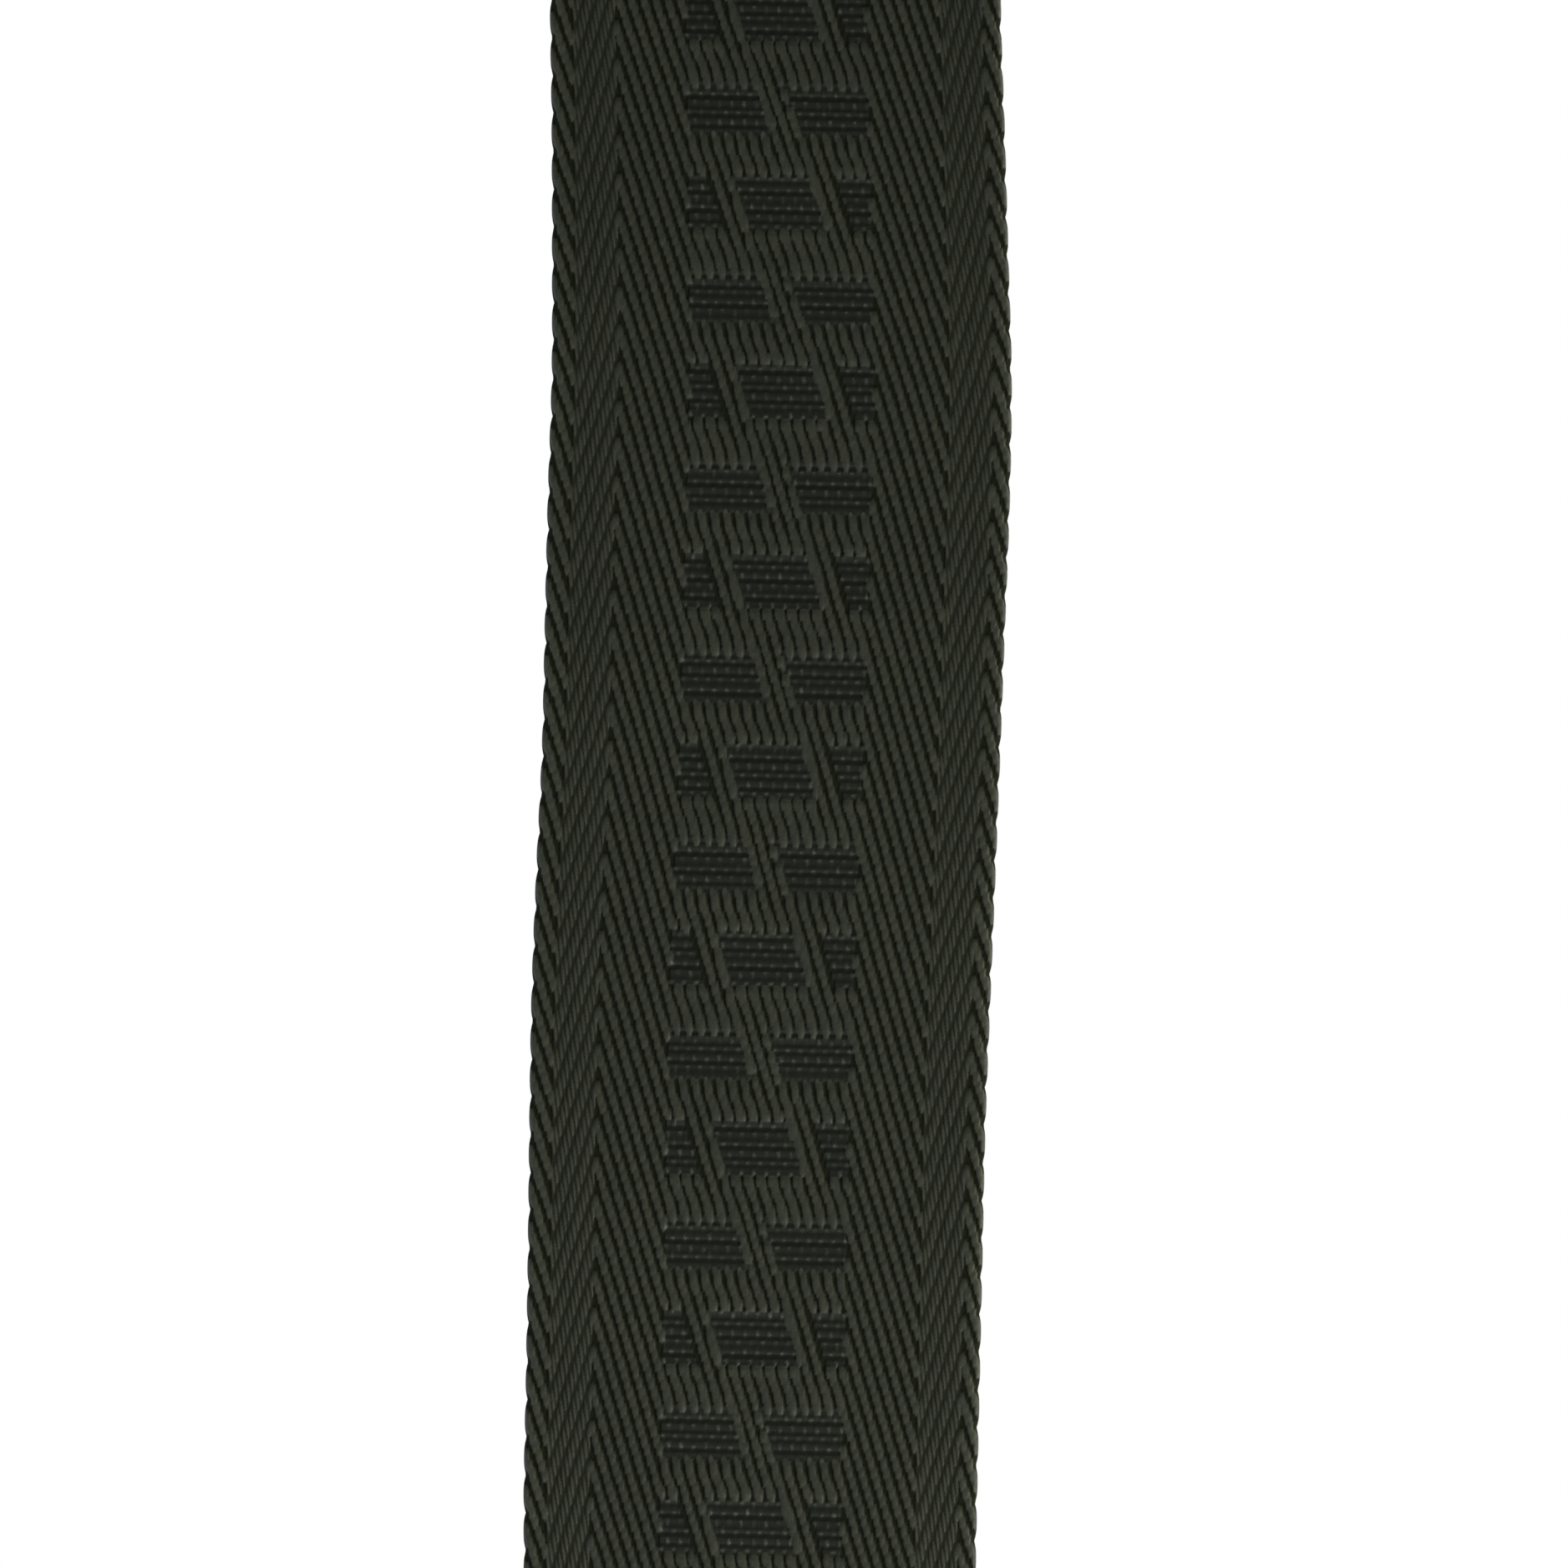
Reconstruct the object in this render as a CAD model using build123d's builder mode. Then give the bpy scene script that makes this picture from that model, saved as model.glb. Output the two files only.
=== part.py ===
from build123d import *
from math import sqrt
import os

os.makedirs("parts", exist_ok=True)

# Adjustable webbing guitar strap, hanging straight down from its front button
# hole.  X runs across the band, +Y is the side that lies on the player, +Z is up.
# The origin is the centre of the front button hole.

# ---------------------------------------------------------------- dimensions
# woven band
web_w = 50.0            # width of the band
web_t = 1.5             # thickness of the band
half_t = web_t / 2

# leather tabs
leather_t = 2.0         # one layer of leather
tab_w = 53.0            # width at the sewn edge
tab_len = 95.0          # sewn edge to tip
tip_r = 17.0            # radius of the rounded tip
hole_u = 75.0           # sewn edge to button hole
tip_u = tab_len - tip_r
shoulder_u = 40.0       # where the tab starts to taper
bend_u0 = 41.0          # the layers close up past the webbing's cut end
web_in_tab = 40.0       # webbing sewn inside the tab
hole_r = 4.25           # strap button hole
slit_w = 1.2
slit_len = 11.0         # slit below the hole's wall
slit_end_r = 1.0

# sewing thread, laid as raised lines on the leather
thread_w = 0.8
thread_h = 0.35
edge_inset = 3.2
box_w = 36.0
box_u0, box_u1 = 4.5, 25.5

# double-cap rivets
rivet_x = 16.0
rivet_u = 33.0
post_r = 1.6
cap_r = 4.5
cap_rim = 0.7           # straight rim under the dome
cap_dome = 1.2          # rise of the face cap's dome
back_dome = 0.7         # rise of the back cap's dome

# rectangular ring
wire_r = 2.0
turn_gap = 0.3          # air between a bar and the webbing round it
ring_in_w = 52.0
bar_pitch = 18.0        # upper bar to lower bar
ring_corner = 3.1
turn_mid = wire_r + turn_gap + half_t        # radius of the webbing's middle
turn_out = turn_mid + half_t
turn_in = turn_mid - half_t
ring_y = turn_mid                            # the ring hangs in this plane
back_y = 2 * turn_mid                        # plane of the return run

# three-bar slide
glide_in_w = 52.0
rail_w = 5.0
bar_r = 1.6
bar_span = 14.0         # centre bar to outer bar
front_bar_y = -(half_t + turn_gap + bar_r)
tail_y = half_t + 0.35 + half_t              # sewn tail, in front of the centre bar
glide_y = (tail_y + back_y) / 2              # centre bar
fold_out = (back_y - tail_y) / 2 + half_t
fold_in = (back_y - tail_y) / 2 - half_t
mid_bar_t = 2.4
mid_bar_h = 5.0

# places along the strap
front_edge_z = -hole_u                       # sewn edge of the front tab
glide_z = -320.0                             # centre bar of the slide
ring_z = -860.0                              # upper bar of the ring
run_z = -755.0                               # end of the stretch that never turns
leg = 5.0                                    # straight legs above the turn
fold_foot = 50.0                             # sewn end below the centre bar
low_bar_z = ring_z - bar_pitch
rear_edge_z = low_bar_z - 16.0               # sewn edge of the rear tab
rear_half = web_t                            # half the doubled loop's thickness in the tab

# working planes: local Y runs from the sewn edge to the tip, local Z to the front
front_flat = Plane(origin=(0, 0, front_edge_z), x_dir=(1, 0, 0), z_dir=(0, -1, 0))
front_side = Plane(origin=(0, 0, front_edge_z), x_dir=(0, 0, 1), z_dir=(1, 0, 0))
rear_flat = Plane(origin=(0, ring_y, rear_edge_z), x_dir=(-1, 0, 0), z_dir=(0, -1, 0))
rear_side = Plane(origin=(0, ring_y, rear_edge_z), x_dir=(0, 0, -1), z_dir=(-1, 0, 0))


def layer(gap, bend_u1, t0, t1, side):
    """Corner points of one layer in a tab's side view: it lies `gap` from the
    middle over the webbing and closes to the middle past the webbing's end."""
    return [(x, side * y) for x, y in (
        (0, gap + t0), (bend_u0, gap + t0), (bend_u1, t0), (tab_len, t0),
        (tab_len, t1), (bend_u1, t1), (bend_u0, gap + t1), (0, gap + t1))]


def dome(rise):
    """Height of a dome of this rise at half the cap's radius."""
    r = (cap_r ** 2 + rise ** 2) / (2 * rise)
    return rise - r + sqrt(r ** 2 - (cap_r / 2) ** 2)


def outline(inset):
    """Points of the tab's outline, inset by a margin: foot, shoulder, the
    tangent point on the rounded tip and the tip itself."""
    w = tab_w / 2 - inset
    r = tip_r - inset
    d = sqrt(w * w + (tip_u - shoulder_u) ** 2)
    a = r * r / d                                   # along the centre line
    h = r * sqrt(d * d - r * r) / d                 # off it
    ux, uy = w / d, (shoulder_u - tip_u) / d
    tx, ty = ux * a - uy * h, tip_u + uy * a + ux * h
    return w, inset, (tx, ty), (0, tip_u + r)


# ---------------------------------------------------------------- the band
with BuildPart() as main_webbing:
    # the face of the strap, from inside the front tab down to the adjuster
    top_z = front_edge_z + web_in_tab
    with BuildSketch(Plane.XY.offset(run_z)):
        Rectangle(web_w, web_t)
    extrude(amount=top_z - run_z)
    with BuildSketch(front_flat):
        with Locations((-rivet_x, rivet_u), (rivet_x, rivet_u)):
            Circle(post_r)
    extrude(amount=web_t, both=True, mode=Mode.SUBTRACT)
main_webbing.part.label = "main_webbing"
export_step(main_webbing.part, "parts/main_webbing.step")

with BuildPart() as adjuster_run:
    # the stretch that feeds round the ring as the length is changed
    with BuildSketch(Plane.XY.offset(ring_z + leg)):
        Rectangle(web_w, web_t)
    extrude(amount=run_z - (ring_z + leg))
adjuster_run.part.label = "adjuster_run"
export_step(adjuster_run.part, "parts/adjuster_run.step")

with BuildPart() as ring_fold:
    # the half turn under the ring's upper bar
    with BuildSketch(Plane.YZ):
        with Locations((ring_y, ring_z)):
            Circle(turn_out)
            Circle(turn_in, mode=Mode.SUBTRACT)
        with Locations((ring_y, ring_z + turn_out)):
            Rectangle(2 * turn_out, 2 * turn_out, mode=Mode.SUBTRACT)
        with Locations((0, ring_z + leg / 2), (back_y, ring_z + leg / 2)):
            Rectangle(web_t, leg)
    extrude(amount=web_w / 2, both=True)
ring_fold.part.label = "ring_fold"
export_step(ring_fold.part, "parts/ring_fold.step")

with BuildPart() as return_run:
    # back up behind the face, to the slide
    with BuildSketch(Plane.XY.offset(ring_z + leg)):
        with Locations((0, back_y)):
            Rectangle(web_w, web_t)
    extrude(amount=(glide_z - fold_foot) - (ring_z + leg))
return_run.part.label = "return_run"
export_step(return_run.part, "parts/return_run.step")

with BuildPart() as webbing_end_fold:
    # the band's end: over the centre bar from behind, down in front of it and
    # in against its own back layer, where it is sewn
    tail_sewn_y = back_y - web_t
    with BuildSketch(Plane.YZ):
        with Locations((glide_y, glide_z + 1.3)):
            Circle(fold_out)
            Circle(fold_in, mode=Mode.SUBTRACT)
        with Locations((glide_y, glide_z + 1.3 - fold_out)):
            Rectangle(2 * fold_out, 2 * fold_out, mode=Mode.SUBTRACT)
        with BuildLine():
            Polyline((back_y - half_t, glide_z + 1.3), (back_y + half_t, glide_z + 1.3),
                     (back_y + half_t, glide_z - fold_foot), (back_y - half_t, glide_z - fold_foot),
                     close=True)
        make_face()
        with BuildLine():
            Polyline((tail_y - half_t, glide_z + 1.3), (tail_y - half_t, glide_z - 4.0),
                     (tail_sewn_y - half_t, glide_z - 19.0), (tail_sewn_y - half_t, glide_z - 46.0),
                     (tail_sewn_y + half_t, glide_z - 46.0), (tail_sewn_y + half_t, glide_z - 18.4),
                     (tail_y + half_t, glide_z - 3.4), (tail_y + half_t, glide_z + 1.3),
                     close=True)
        make_face()
    extrude(amount=web_w / 2, both=True)
webbing_end_fold.part.label = "webbing_end_fold"
export_step(webbing_end_fold.part, "parts/webbing_end_fold.step")

with BuildPart() as webbing_end_stitching:
    # a sewn box on both faces of the folded end
    for y0, y1 in ((back_y + half_t, back_y + half_t + thread_h),
                   (tail_sewn_y - half_t - thread_h, tail_sewn_y - half_t)):
        with BuildSketch(Plane.XZ.offset(-y1)):
            with Locations((0, glide_z - 33.0)):
                Rectangle(42.0, 20.0)
                Rectangle(42.0 - 2 * thread_w, 20.0 - 2 * thread_w, mode=Mode.SUBTRACT)
                Rectangle(42.0, thread_w)
        extrude(amount=y1 - y0)
webbing_end_stitching.part.label = "webbing_end_stitching"
export_step(webbing_end_stitching.part, "parts/webbing_end_stitching.step")

# ---------------------------------------------------------------- hardware
with BuildPart() as tri_glide:
    # bowed three-bar slide: outer bars in front of the face, centre bar behind it
    for sx in (-1, 1):
        with BuildSketch(Plane.YZ.offset(sx * (glide_in_w / 2) + (0 if sx > 0 else -rail_w))):
            with BuildLine():
                ThreePointArc((front_bar_y, glide_z - bar_span), (glide_y, glide_z),
                              (front_bar_y, glide_z + bar_span))
            trace(line_width=2 * bar_r)
            with Locations((front_bar_y, glide_z - bar_span), (front_bar_y, glide_z + bar_span)):
                Circle(bar_r)
        extrude(amount=rail_w)
    rims = tri_glide.edges().filter_by_position(Axis.X, glide_in_w / 2 + rail_w - 0.01,
                                                glide_in_w / 2 + rail_w + 0.01)
    rims += tri_glide.edges().filter_by_position(Axis.X, -glide_in_w / 2 - rail_w - 0.01,
                                                 -glide_in_w / 2 - rail_w + 0.01)
    fillet(rims, radius=1.1)
    with BuildSketch(Plane.YZ.offset(-glide_in_w / 2 - 1.0)):
        with Locations((front_bar_y, glide_z - bar_span), (front_bar_y, glide_z + bar_span)):
            Circle(bar_r)
        with Locations((glide_y, glide_z)):
            RectangleRounded(mid_bar_t, mid_bar_h, 1.15)
    extrude(amount=glide_in_w + 2.0)
tri_glide.part.label = "tri_glide"
export_step(tri_glide.part, "parts/tri_glide.step")

with BuildPart() as ring:
    # rectangular ring of round wire
    x_mid = ring_in_w / 2 + wire_r
    with BuildSketch(Plane.XZ.offset(-ring_y), mode=Mode.PRIVATE) as ring_middle:
        with Locations((0, (ring_z + low_bar_z) / 2)):
            RectangleRounded(2 * x_mid, bar_pitch, ring_corner)
    wire_path = ring_middle.sketch.face().outer_wire()
    with BuildSketch(Plane(origin=wire_path @ 0, z_dir=wire_path % 0)):
        Circle(wire_r)
    sweep(path=wire_path)
ring.part.label = "ring"
export_step(ring.part, "parts/ring.step")

# ---------------------------------------------------------------- front tab
front_bend = 51.0
with BuildPart() as front_tab_face:
    # outer leather, with the button hole and the slit that lets the button in
    with BuildSketch(front_side):
        with BuildLine():
            Polyline(*layer(half_t, front_bend, 0, leather_t, 1), close=True)
        make_face()
    extrude(amount=tab_w, both=True)
    w, u0, tan_pt, tip_pt = outline(0)
    with BuildSketch(front_flat):
        with BuildLine():
            Line((-w, u0), (w, u0))
            Line((w, u0), (w, shoulder_u))
            Line((w, shoulder_u), tan_pt)
            ThreePointArc(tan_pt, tip_pt, (-tan_pt[0], tan_pt[1]))
            Line((-tan_pt[0], tan_pt[1]), (-w, shoulder_u))
            Line((-w, shoulder_u), (-w, u0))
        make_face()
        fillet(vertices().filter_by_position(Axis.Y, u0 - 0.1, u0 + 0.1), radius=3.0)
        fillet(vertices().filter_by_position(Axis.Y, shoulder_u - 0.1, shoulder_u + 0.1), radius=30.0)
        with Locations((0, hole_u)):
            Circle(hole_r, mode=Mode.SUBTRACT)
        with Locations((0, hole_u - hole_r - slit_len / 2 + 0.5)):
            Rectangle(slit_w, slit_len + 1.0, mode=Mode.SUBTRACT)
        with Locations((0, hole_u - hole_r - slit_len)):
            Circle(slit_end_r, mode=Mode.SUBTRACT)
        with Locations((-rivet_x, rivet_u), (rivet_x, rivet_u)):
            Circle(post_r, mode=Mode.SUBTRACT)
    extrude(amount=20, both=True, mode=Mode.INTERSECT)
front_tab_face.part.label = "front_tab_face"
export_step(front_tab_face.part, "parts/front_tab_face.step")

with BuildPart() as front_tab_back:
    # the same outline in the lining leather behind
    with BuildSketch(front_side):
        with BuildLine():
            Polyline(*layer(half_t, front_bend, 0, leather_t, -1), close=True)
        make_face()
    extrude(amount=tab_w, both=True)
    w, u0, tan_pt, tip_pt = outline(0)
    with BuildSketch(front_flat):
        with BuildLine():
            Line((-w, u0), (w, u0))
            Line((w, u0), (w, shoulder_u))
            Line((w, shoulder_u), tan_pt)
            ThreePointArc(tan_pt, tip_pt, (-tan_pt[0], tan_pt[1]))
            Line((-tan_pt[0], tan_pt[1]), (-w, shoulder_u))
            Line((-w, shoulder_u), (-w, u0))
        make_face()
        fillet(vertices().filter_by_position(Axis.Y, u0 - 0.1, u0 + 0.1), radius=3.0)
        fillet(vertices().filter_by_position(Axis.Y, shoulder_u - 0.1, shoulder_u + 0.1), radius=30.0)
        with Locations((0, hole_u)):
            Circle(hole_r, mode=Mode.SUBTRACT)
        with Locations((0, hole_u - hole_r - slit_len / 2 + 0.5)):
            Rectangle(slit_w, slit_len + 1.0, mode=Mode.SUBTRACT)
        with Locations((0, hole_u - hole_r - slit_len)):
            Circle(slit_end_r, mode=Mode.SUBTRACT)
        with Locations((-rivet_x, rivet_u), (rivet_x, rivet_u)):
            Circle(post_r, mode=Mode.SUBTRACT)
    extrude(amount=20, both=True, mode=Mode.INTERSECT)
front_tab_back.part.label = "front_tab_back"
export_step(front_tab_back.part, "parts/front_tab_back.step")

with BuildPart() as front_tab_edge_stitching:
    # one line of thread round the tab, on each face
    with BuildSketch(front_side):
        for s in (1, -1):
            with BuildLine():
                Polyline(*layer(half_t, front_bend, leather_t, leather_t + thread_h, s), close=True)
            make_face()
    extrude(amount=tab_w, both=True)
    with BuildSketch(front_flat) as ring_line:
        for inset, m in ((edge_inset, Mode.ADD), (edge_inset + thread_w, Mode.SUBTRACT)):
            w, u0, tan_pt, tip_pt = outline(inset)
            with BuildLine():
                Line((-w, u0), (w, u0))
                Line((w, u0), (w, shoulder_u))
                Line((w, shoulder_u), tan_pt)
                ThreePointArc(tan_pt, tip_pt, (-tan_pt[0], tan_pt[1]))
                Line((-tan_pt[0], tan_pt[1]), (-w, shoulder_u))
                Line((-w, shoulder_u), (-w, u0))
            make_face(mode=m)
    extrude(amount=20, both=True, mode=Mode.INTERSECT)
front_tab_edge_stitching.part.label = "front_tab_edge_stitching"
export_step(front_tab_edge_stitching.part, "parts/front_tab_edge_stitching.step")

with BuildPart() as front_tab_box_stitching:
    # crossed box that carries the load into the webbing, on each face
    box_mid = (box_u0 + box_u1) / 2
    box_h = box_u1 - box_u0
    box_diag = sqrt(box_w ** 2 + box_h ** 2)
    cross = 30.256
    for y1 in (-(half_t + leather_t), half_t + leather_t + thread_h):
        with BuildSketch(front_flat.offset(-y1)):
            with Locations((0, box_mid)):
                Rectangle(box_w, box_h)
                Rectangle(box_w - 2 * thread_w, box_h - 2 * thread_w, mode=Mode.SUBTRACT)
                Rectangle(box_diag - 2.0, thread_w, rotation=cross)
                Rectangle(box_diag - 2.0, thread_w, rotation=-cross)
        extrude(amount=thread_h)
front_tab_box_stitching.part.label = "front_tab_box_stitching"
export_step(front_tab_box_stitching.part, "parts/front_tab_box_stitching.step")

with BuildPart() as front_rivet_caps:
    # face caps with their posts, through both layers and the webbing
    face_y = half_t + leather_t
    for rx in (-rivet_x, rivet_x):
        with BuildSketch(Plane(origin=(rx, 0, front_edge_z + rivet_u), x_dir=(1, 0, 0), z_dir=(0, 0, 1))):
            with BuildLine():
                Polyline((0, face_y), (post_r, face_y), (post_r, -face_y), (cap_r, -face_y),
                         (cap_r, -face_y - cap_rim))
                ThreePointArc((cap_r, -face_y - cap_rim), (cap_r / 2, -face_y - cap_rim - dome(cap_dome)),
                              (0, -face_y - cap_rim - cap_dome))
                Line((0, -face_y - cap_rim - cap_dome), (0, face_y))
            make_face()
        revolve(axis=Axis((rx, 0, front_edge_z + rivet_u), (0, 1, 0)))
front_rivet_caps.part.label = "front_rivet_caps"
export_step(front_rivet_caps.part, "parts/front_rivet_caps.step")

with BuildPart() as front_rivet_backs:
    # back caps
    for rx in (-rivet_x, rivet_x):
        with BuildSketch(Plane(origin=(rx, 0, front_edge_z + rivet_u), x_dir=(1, 0, 0), z_dir=(0, 0, 1))):
            with BuildLine():
                Polyline((0, face_y), (cap_r, face_y), (cap_r, face_y + cap_rim))
                ThreePointArc((cap_r, face_y + cap_rim), (cap_r / 2, face_y + cap_rim + dome(back_dome)),
                              (0, face_y + cap_rim + back_dome))
                Line((0, face_y + cap_rim + back_dome), (0, face_y))
            make_face()
        revolve(axis=Axis((rx, 0, front_edge_z + rivet_u), (0, 1, 0)))
front_rivet_backs.part.label = "front_rivet_backs"
export_step(front_rivet_backs.part, "parts/front_rivet_backs.step")

# ---------------------------------------------------------------- rear tab
rear_bend = 55.0
rear_face_h = rear_half + leather_t

with BuildPart() as rear_webbing_loop:
    # a short band folded double over the ring's lower bar and sewn into the tab
    foot_z = rear_edge_z - web_in_tab
    neck_z = rear_edge_z + 3.0
    with BuildSketch(Plane.YZ):
        with Locations((ring_y, low_bar_z)):
            Circle(turn_out)
        with BuildLine():
            Polyline((ring_y - turn_out * 0.985, low_bar_z - 0.65), (ring_y - rear_half, neck_z),
                     (ring_y - rear_half, foot_z), (ring_y + rear_half, foot_z),
                     (ring_y + rear_half, neck_z), (ring_y + turn_out * 0.985, low_bar_z - 0.65),
                     close=True)
        make_face()
        with Locations((ring_y, low_bar_z)):
            Circle(turn_in, mode=Mode.SUBTRACT)
        with BuildLine():
            Polyline((ring_y - turn_in * 0.985, low_bar_z - 0.4), (ring_y - 0.15, neck_z + 1.0),
                     (ring_y + 0.15, neck_z + 1.0), (ring_y + turn_in * 0.985, low_bar_z - 0.4),
                     close=True)
        make_face(mode=Mode.SUBTRACT)
    extrude(amount=web_w / 2, both=True)
    with BuildSketch(rear_flat):
        with Locations((-rivet_x, rivet_u), (rivet_x, rivet_u)):
            Circle(post_r)
    extrude(amount=10, both=True, mode=Mode.SUBTRACT)
rear_webbing_loop.part.label = "rear_webbing_loop"
export_step(rear_webbing_loop.part, "parts/rear_webbing_loop.step")

with BuildPart() as rear_tab_face:
    with BuildSketch(rear_side):
        with BuildLine():
            Polyline(*layer(rear_half, rear_bend, 0, leather_t, 1), close=True)
        make_face()
    extrude(amount=tab_w, both=True)
    w, u0, tan_pt, tip_pt = outline(0)
    with BuildSketch(rear_flat):
        with BuildLine():
            Line((-w, u0), (w, u0))
            Line((w, u0), (w, shoulder_u))
            Line((w, shoulder_u), tan_pt)
            ThreePointArc(tan_pt, tip_pt, (-tan_pt[0], tan_pt[1]))
            Line((-tan_pt[0], tan_pt[1]), (-w, shoulder_u))
            Line((-w, shoulder_u), (-w, u0))
        make_face()
        fillet(vertices().filter_by_position(Axis.Y, u0 - 0.1, u0 + 0.1), radius=3.0)
        fillet(vertices().filter_by_position(Axis.Y, shoulder_u - 0.1, shoulder_u + 0.1), radius=30.0)
        with Locations((0, hole_u)):
            Circle(hole_r, mode=Mode.SUBTRACT)
        with Locations((0, hole_u - hole_r - slit_len / 2 + 0.5)):
            Rectangle(slit_w, slit_len + 1.0, mode=Mode.SUBTRACT)
        with Locations((0, hole_u - hole_r - slit_len)):
            Circle(slit_end_r, mode=Mode.SUBTRACT)
        with Locations((-rivet_x, rivet_u), (rivet_x, rivet_u)):
            Circle(post_r, mode=Mode.SUBTRACT)
    extrude(amount=20, both=True, mode=Mode.INTERSECT)
rear_tab_face.part.label = "rear_tab_face"
export_step(rear_tab_face.part, "parts/rear_tab_face.step")

with BuildPart() as rear_tab_back:
    with BuildSketch(rear_side):
        with BuildLine():
            Polyline(*layer(rear_half, rear_bend, 0, leather_t, -1), close=True)
        make_face()
    extrude(amount=tab_w, both=True)
    w, u0, tan_pt, tip_pt = outline(0)
    with BuildSketch(rear_flat):
        with BuildLine():
            Line((-w, u0), (w, u0))
            Line((w, u0), (w, shoulder_u))
            Line((w, shoulder_u), tan_pt)
            ThreePointArc(tan_pt, tip_pt, (-tan_pt[0], tan_pt[1]))
            Line((-tan_pt[0], tan_pt[1]), (-w, shoulder_u))
            Line((-w, shoulder_u), (-w, u0))
        make_face()
        fillet(vertices().filter_by_position(Axis.Y, u0 - 0.1, u0 + 0.1), radius=3.0)
        fillet(vertices().filter_by_position(Axis.Y, shoulder_u - 0.1, shoulder_u + 0.1), radius=30.0)
        with Locations((0, hole_u)):
            Circle(hole_r, mode=Mode.SUBTRACT)
        with Locations((0, hole_u - hole_r - slit_len / 2 + 0.5)):
            Rectangle(slit_w, slit_len + 1.0, mode=Mode.SUBTRACT)
        with Locations((0, hole_u - hole_r - slit_len)):
            Circle(slit_end_r, mode=Mode.SUBTRACT)
        with Locations((-rivet_x, rivet_u), (rivet_x, rivet_u)):
            Circle(post_r, mode=Mode.SUBTRACT)
    extrude(amount=20, both=True, mode=Mode.INTERSECT)
rear_tab_back.part.label = "rear_tab_back"
export_step(rear_tab_back.part, "parts/rear_tab_back.step")

with BuildPart() as rear_tab_edge_stitching:
    with BuildSketch(rear_side):
        for s in (1, -1):
            with BuildLine():
                Polyline(*layer(rear_half, rear_bend, leather_t, leather_t + thread_h, s), close=True)
            make_face()
    extrude(amount=tab_w, both=True)
    with BuildSketch(rear_flat):
        for inset, m in ((edge_inset, Mode.ADD), (edge_inset + thread_w, Mode.SUBTRACT)):
            w, u0, tan_pt, tip_pt = outline(inset)
            with BuildLine():
                Line((-w, u0), (w, u0))
                Line((w, u0), (w, shoulder_u))
                Line((w, shoulder_u), tan_pt)
                ThreePointArc(tan_pt, tip_pt, (-tan_pt[0], tan_pt[1]))
                Line((-tan_pt[0], tan_pt[1]), (-w, shoulder_u))
                Line((-w, shoulder_u), (-w, u0))
            make_face(mode=m)
    extrude(amount=20, both=True, mode=Mode.INTERSECT)
rear_tab_edge_stitching.part.label = "rear_tab_edge_stitching"
export_step(rear_tab_edge_stitching.part, "parts/rear_tab_edge_stitching.step")

with BuildPart() as rear_tab_box_stitching:
    for off in (rear_face_h, -rear_face_h - thread_h):
        with BuildSketch(rear_flat.offset(off)):
            with Locations((0, box_mid)):
                Rectangle(box_w, box_h)
                Rectangle(box_w - 2 * thread_w, box_h - 2 * thread_w, mode=Mode.SUBTRACT)
                Rectangle(box_diag - 2.0, thread_w, rotation=cross)
                Rectangle(box_diag - 2.0, thread_w, rotation=-cross)
        extrude(amount=thread_h)
rear_tab_box_stitching.part.label = "rear_tab_box_stitching"
export_step(rear_tab_box_stitching.part, "parts/rear_tab_box_stitching.step")

with BuildPart() as rear_rivet_caps:
    for rx in (-rivet_x, rivet_x):
        with BuildSketch(Plane(origin=(rx, ring_y, rear_edge_z - rivet_u), x_dir=(1, 0, 0), z_dir=(0, 0, 1))):
            with BuildLine():
                Polyline((0, rear_face_h), (post_r, rear_face_h), (post_r, -rear_face_h), (cap_r, -rear_face_h),
                         (cap_r, -rear_face_h - cap_rim))
                ThreePointArc((cap_r, -rear_face_h - cap_rim), (cap_r / 2, -rear_face_h - cap_rim - dome(cap_dome)),
                              (0, -rear_face_h - cap_rim - cap_dome))
                Line((0, -rear_face_h - cap_rim - cap_dome), (0, rear_face_h))
            make_face()
        revolve(axis=Axis((rx, ring_y, rear_edge_z - rivet_u), (0, 1, 0)))
rear_rivet_caps.part.label = "rear_rivet_caps"
export_step(rear_rivet_caps.part, "parts/rear_rivet_caps.step")

with BuildPart() as rear_rivet_backs:
    for rx in (-rivet_x, rivet_x):
        with BuildSketch(Plane(origin=(rx, ring_y, rear_edge_z - rivet_u), x_dir=(1, 0, 0), z_dir=(0, 0, 1))):
            with BuildLine():
                Polyline((0, rear_face_h), (cap_r, rear_face_h), (cap_r, rear_face_h + cap_rim))
                ThreePointArc((cap_r, rear_face_h + cap_rim), (cap_r / 2, rear_face_h + cap_rim + dome(back_dome)),
                              (0, rear_face_h + cap_rim + back_dome))
                Line((0, rear_face_h + cap_rim + back_dome), (0, rear_face_h))
            make_face()
        revolve(axis=Axis((rx, ring_y, rear_edge_z - rivet_u), (0, 1, 0)))
rear_rivet_backs.part.label = "rear_rivet_backs"
export_step(rear_rivet_backs.part, "parts/rear_rivet_backs.step")

cut_length = (web_in_tab + (front_edge_z - ring_z)) + 3.1416 * turn_mid \
    + (glide_z - ring_z) + 3.1416 * (back_y - tail_y) / 2 + 46.0
print("band cut length mm", round(cut_length, 1))
print("ring plane y", ring_y, "return plane y", back_y, "slide bar y", glide_y, "front bars y", front_bar_y)
print("rear hole z", rear_edge_z - hole_u, "rear tip z", rear_edge_z - tab_len)
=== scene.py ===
import math
import bpy
import numpy as np
from mathutils import Vector, Matrix
from mathutils.geometry import delaunay_2d_cdt


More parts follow.
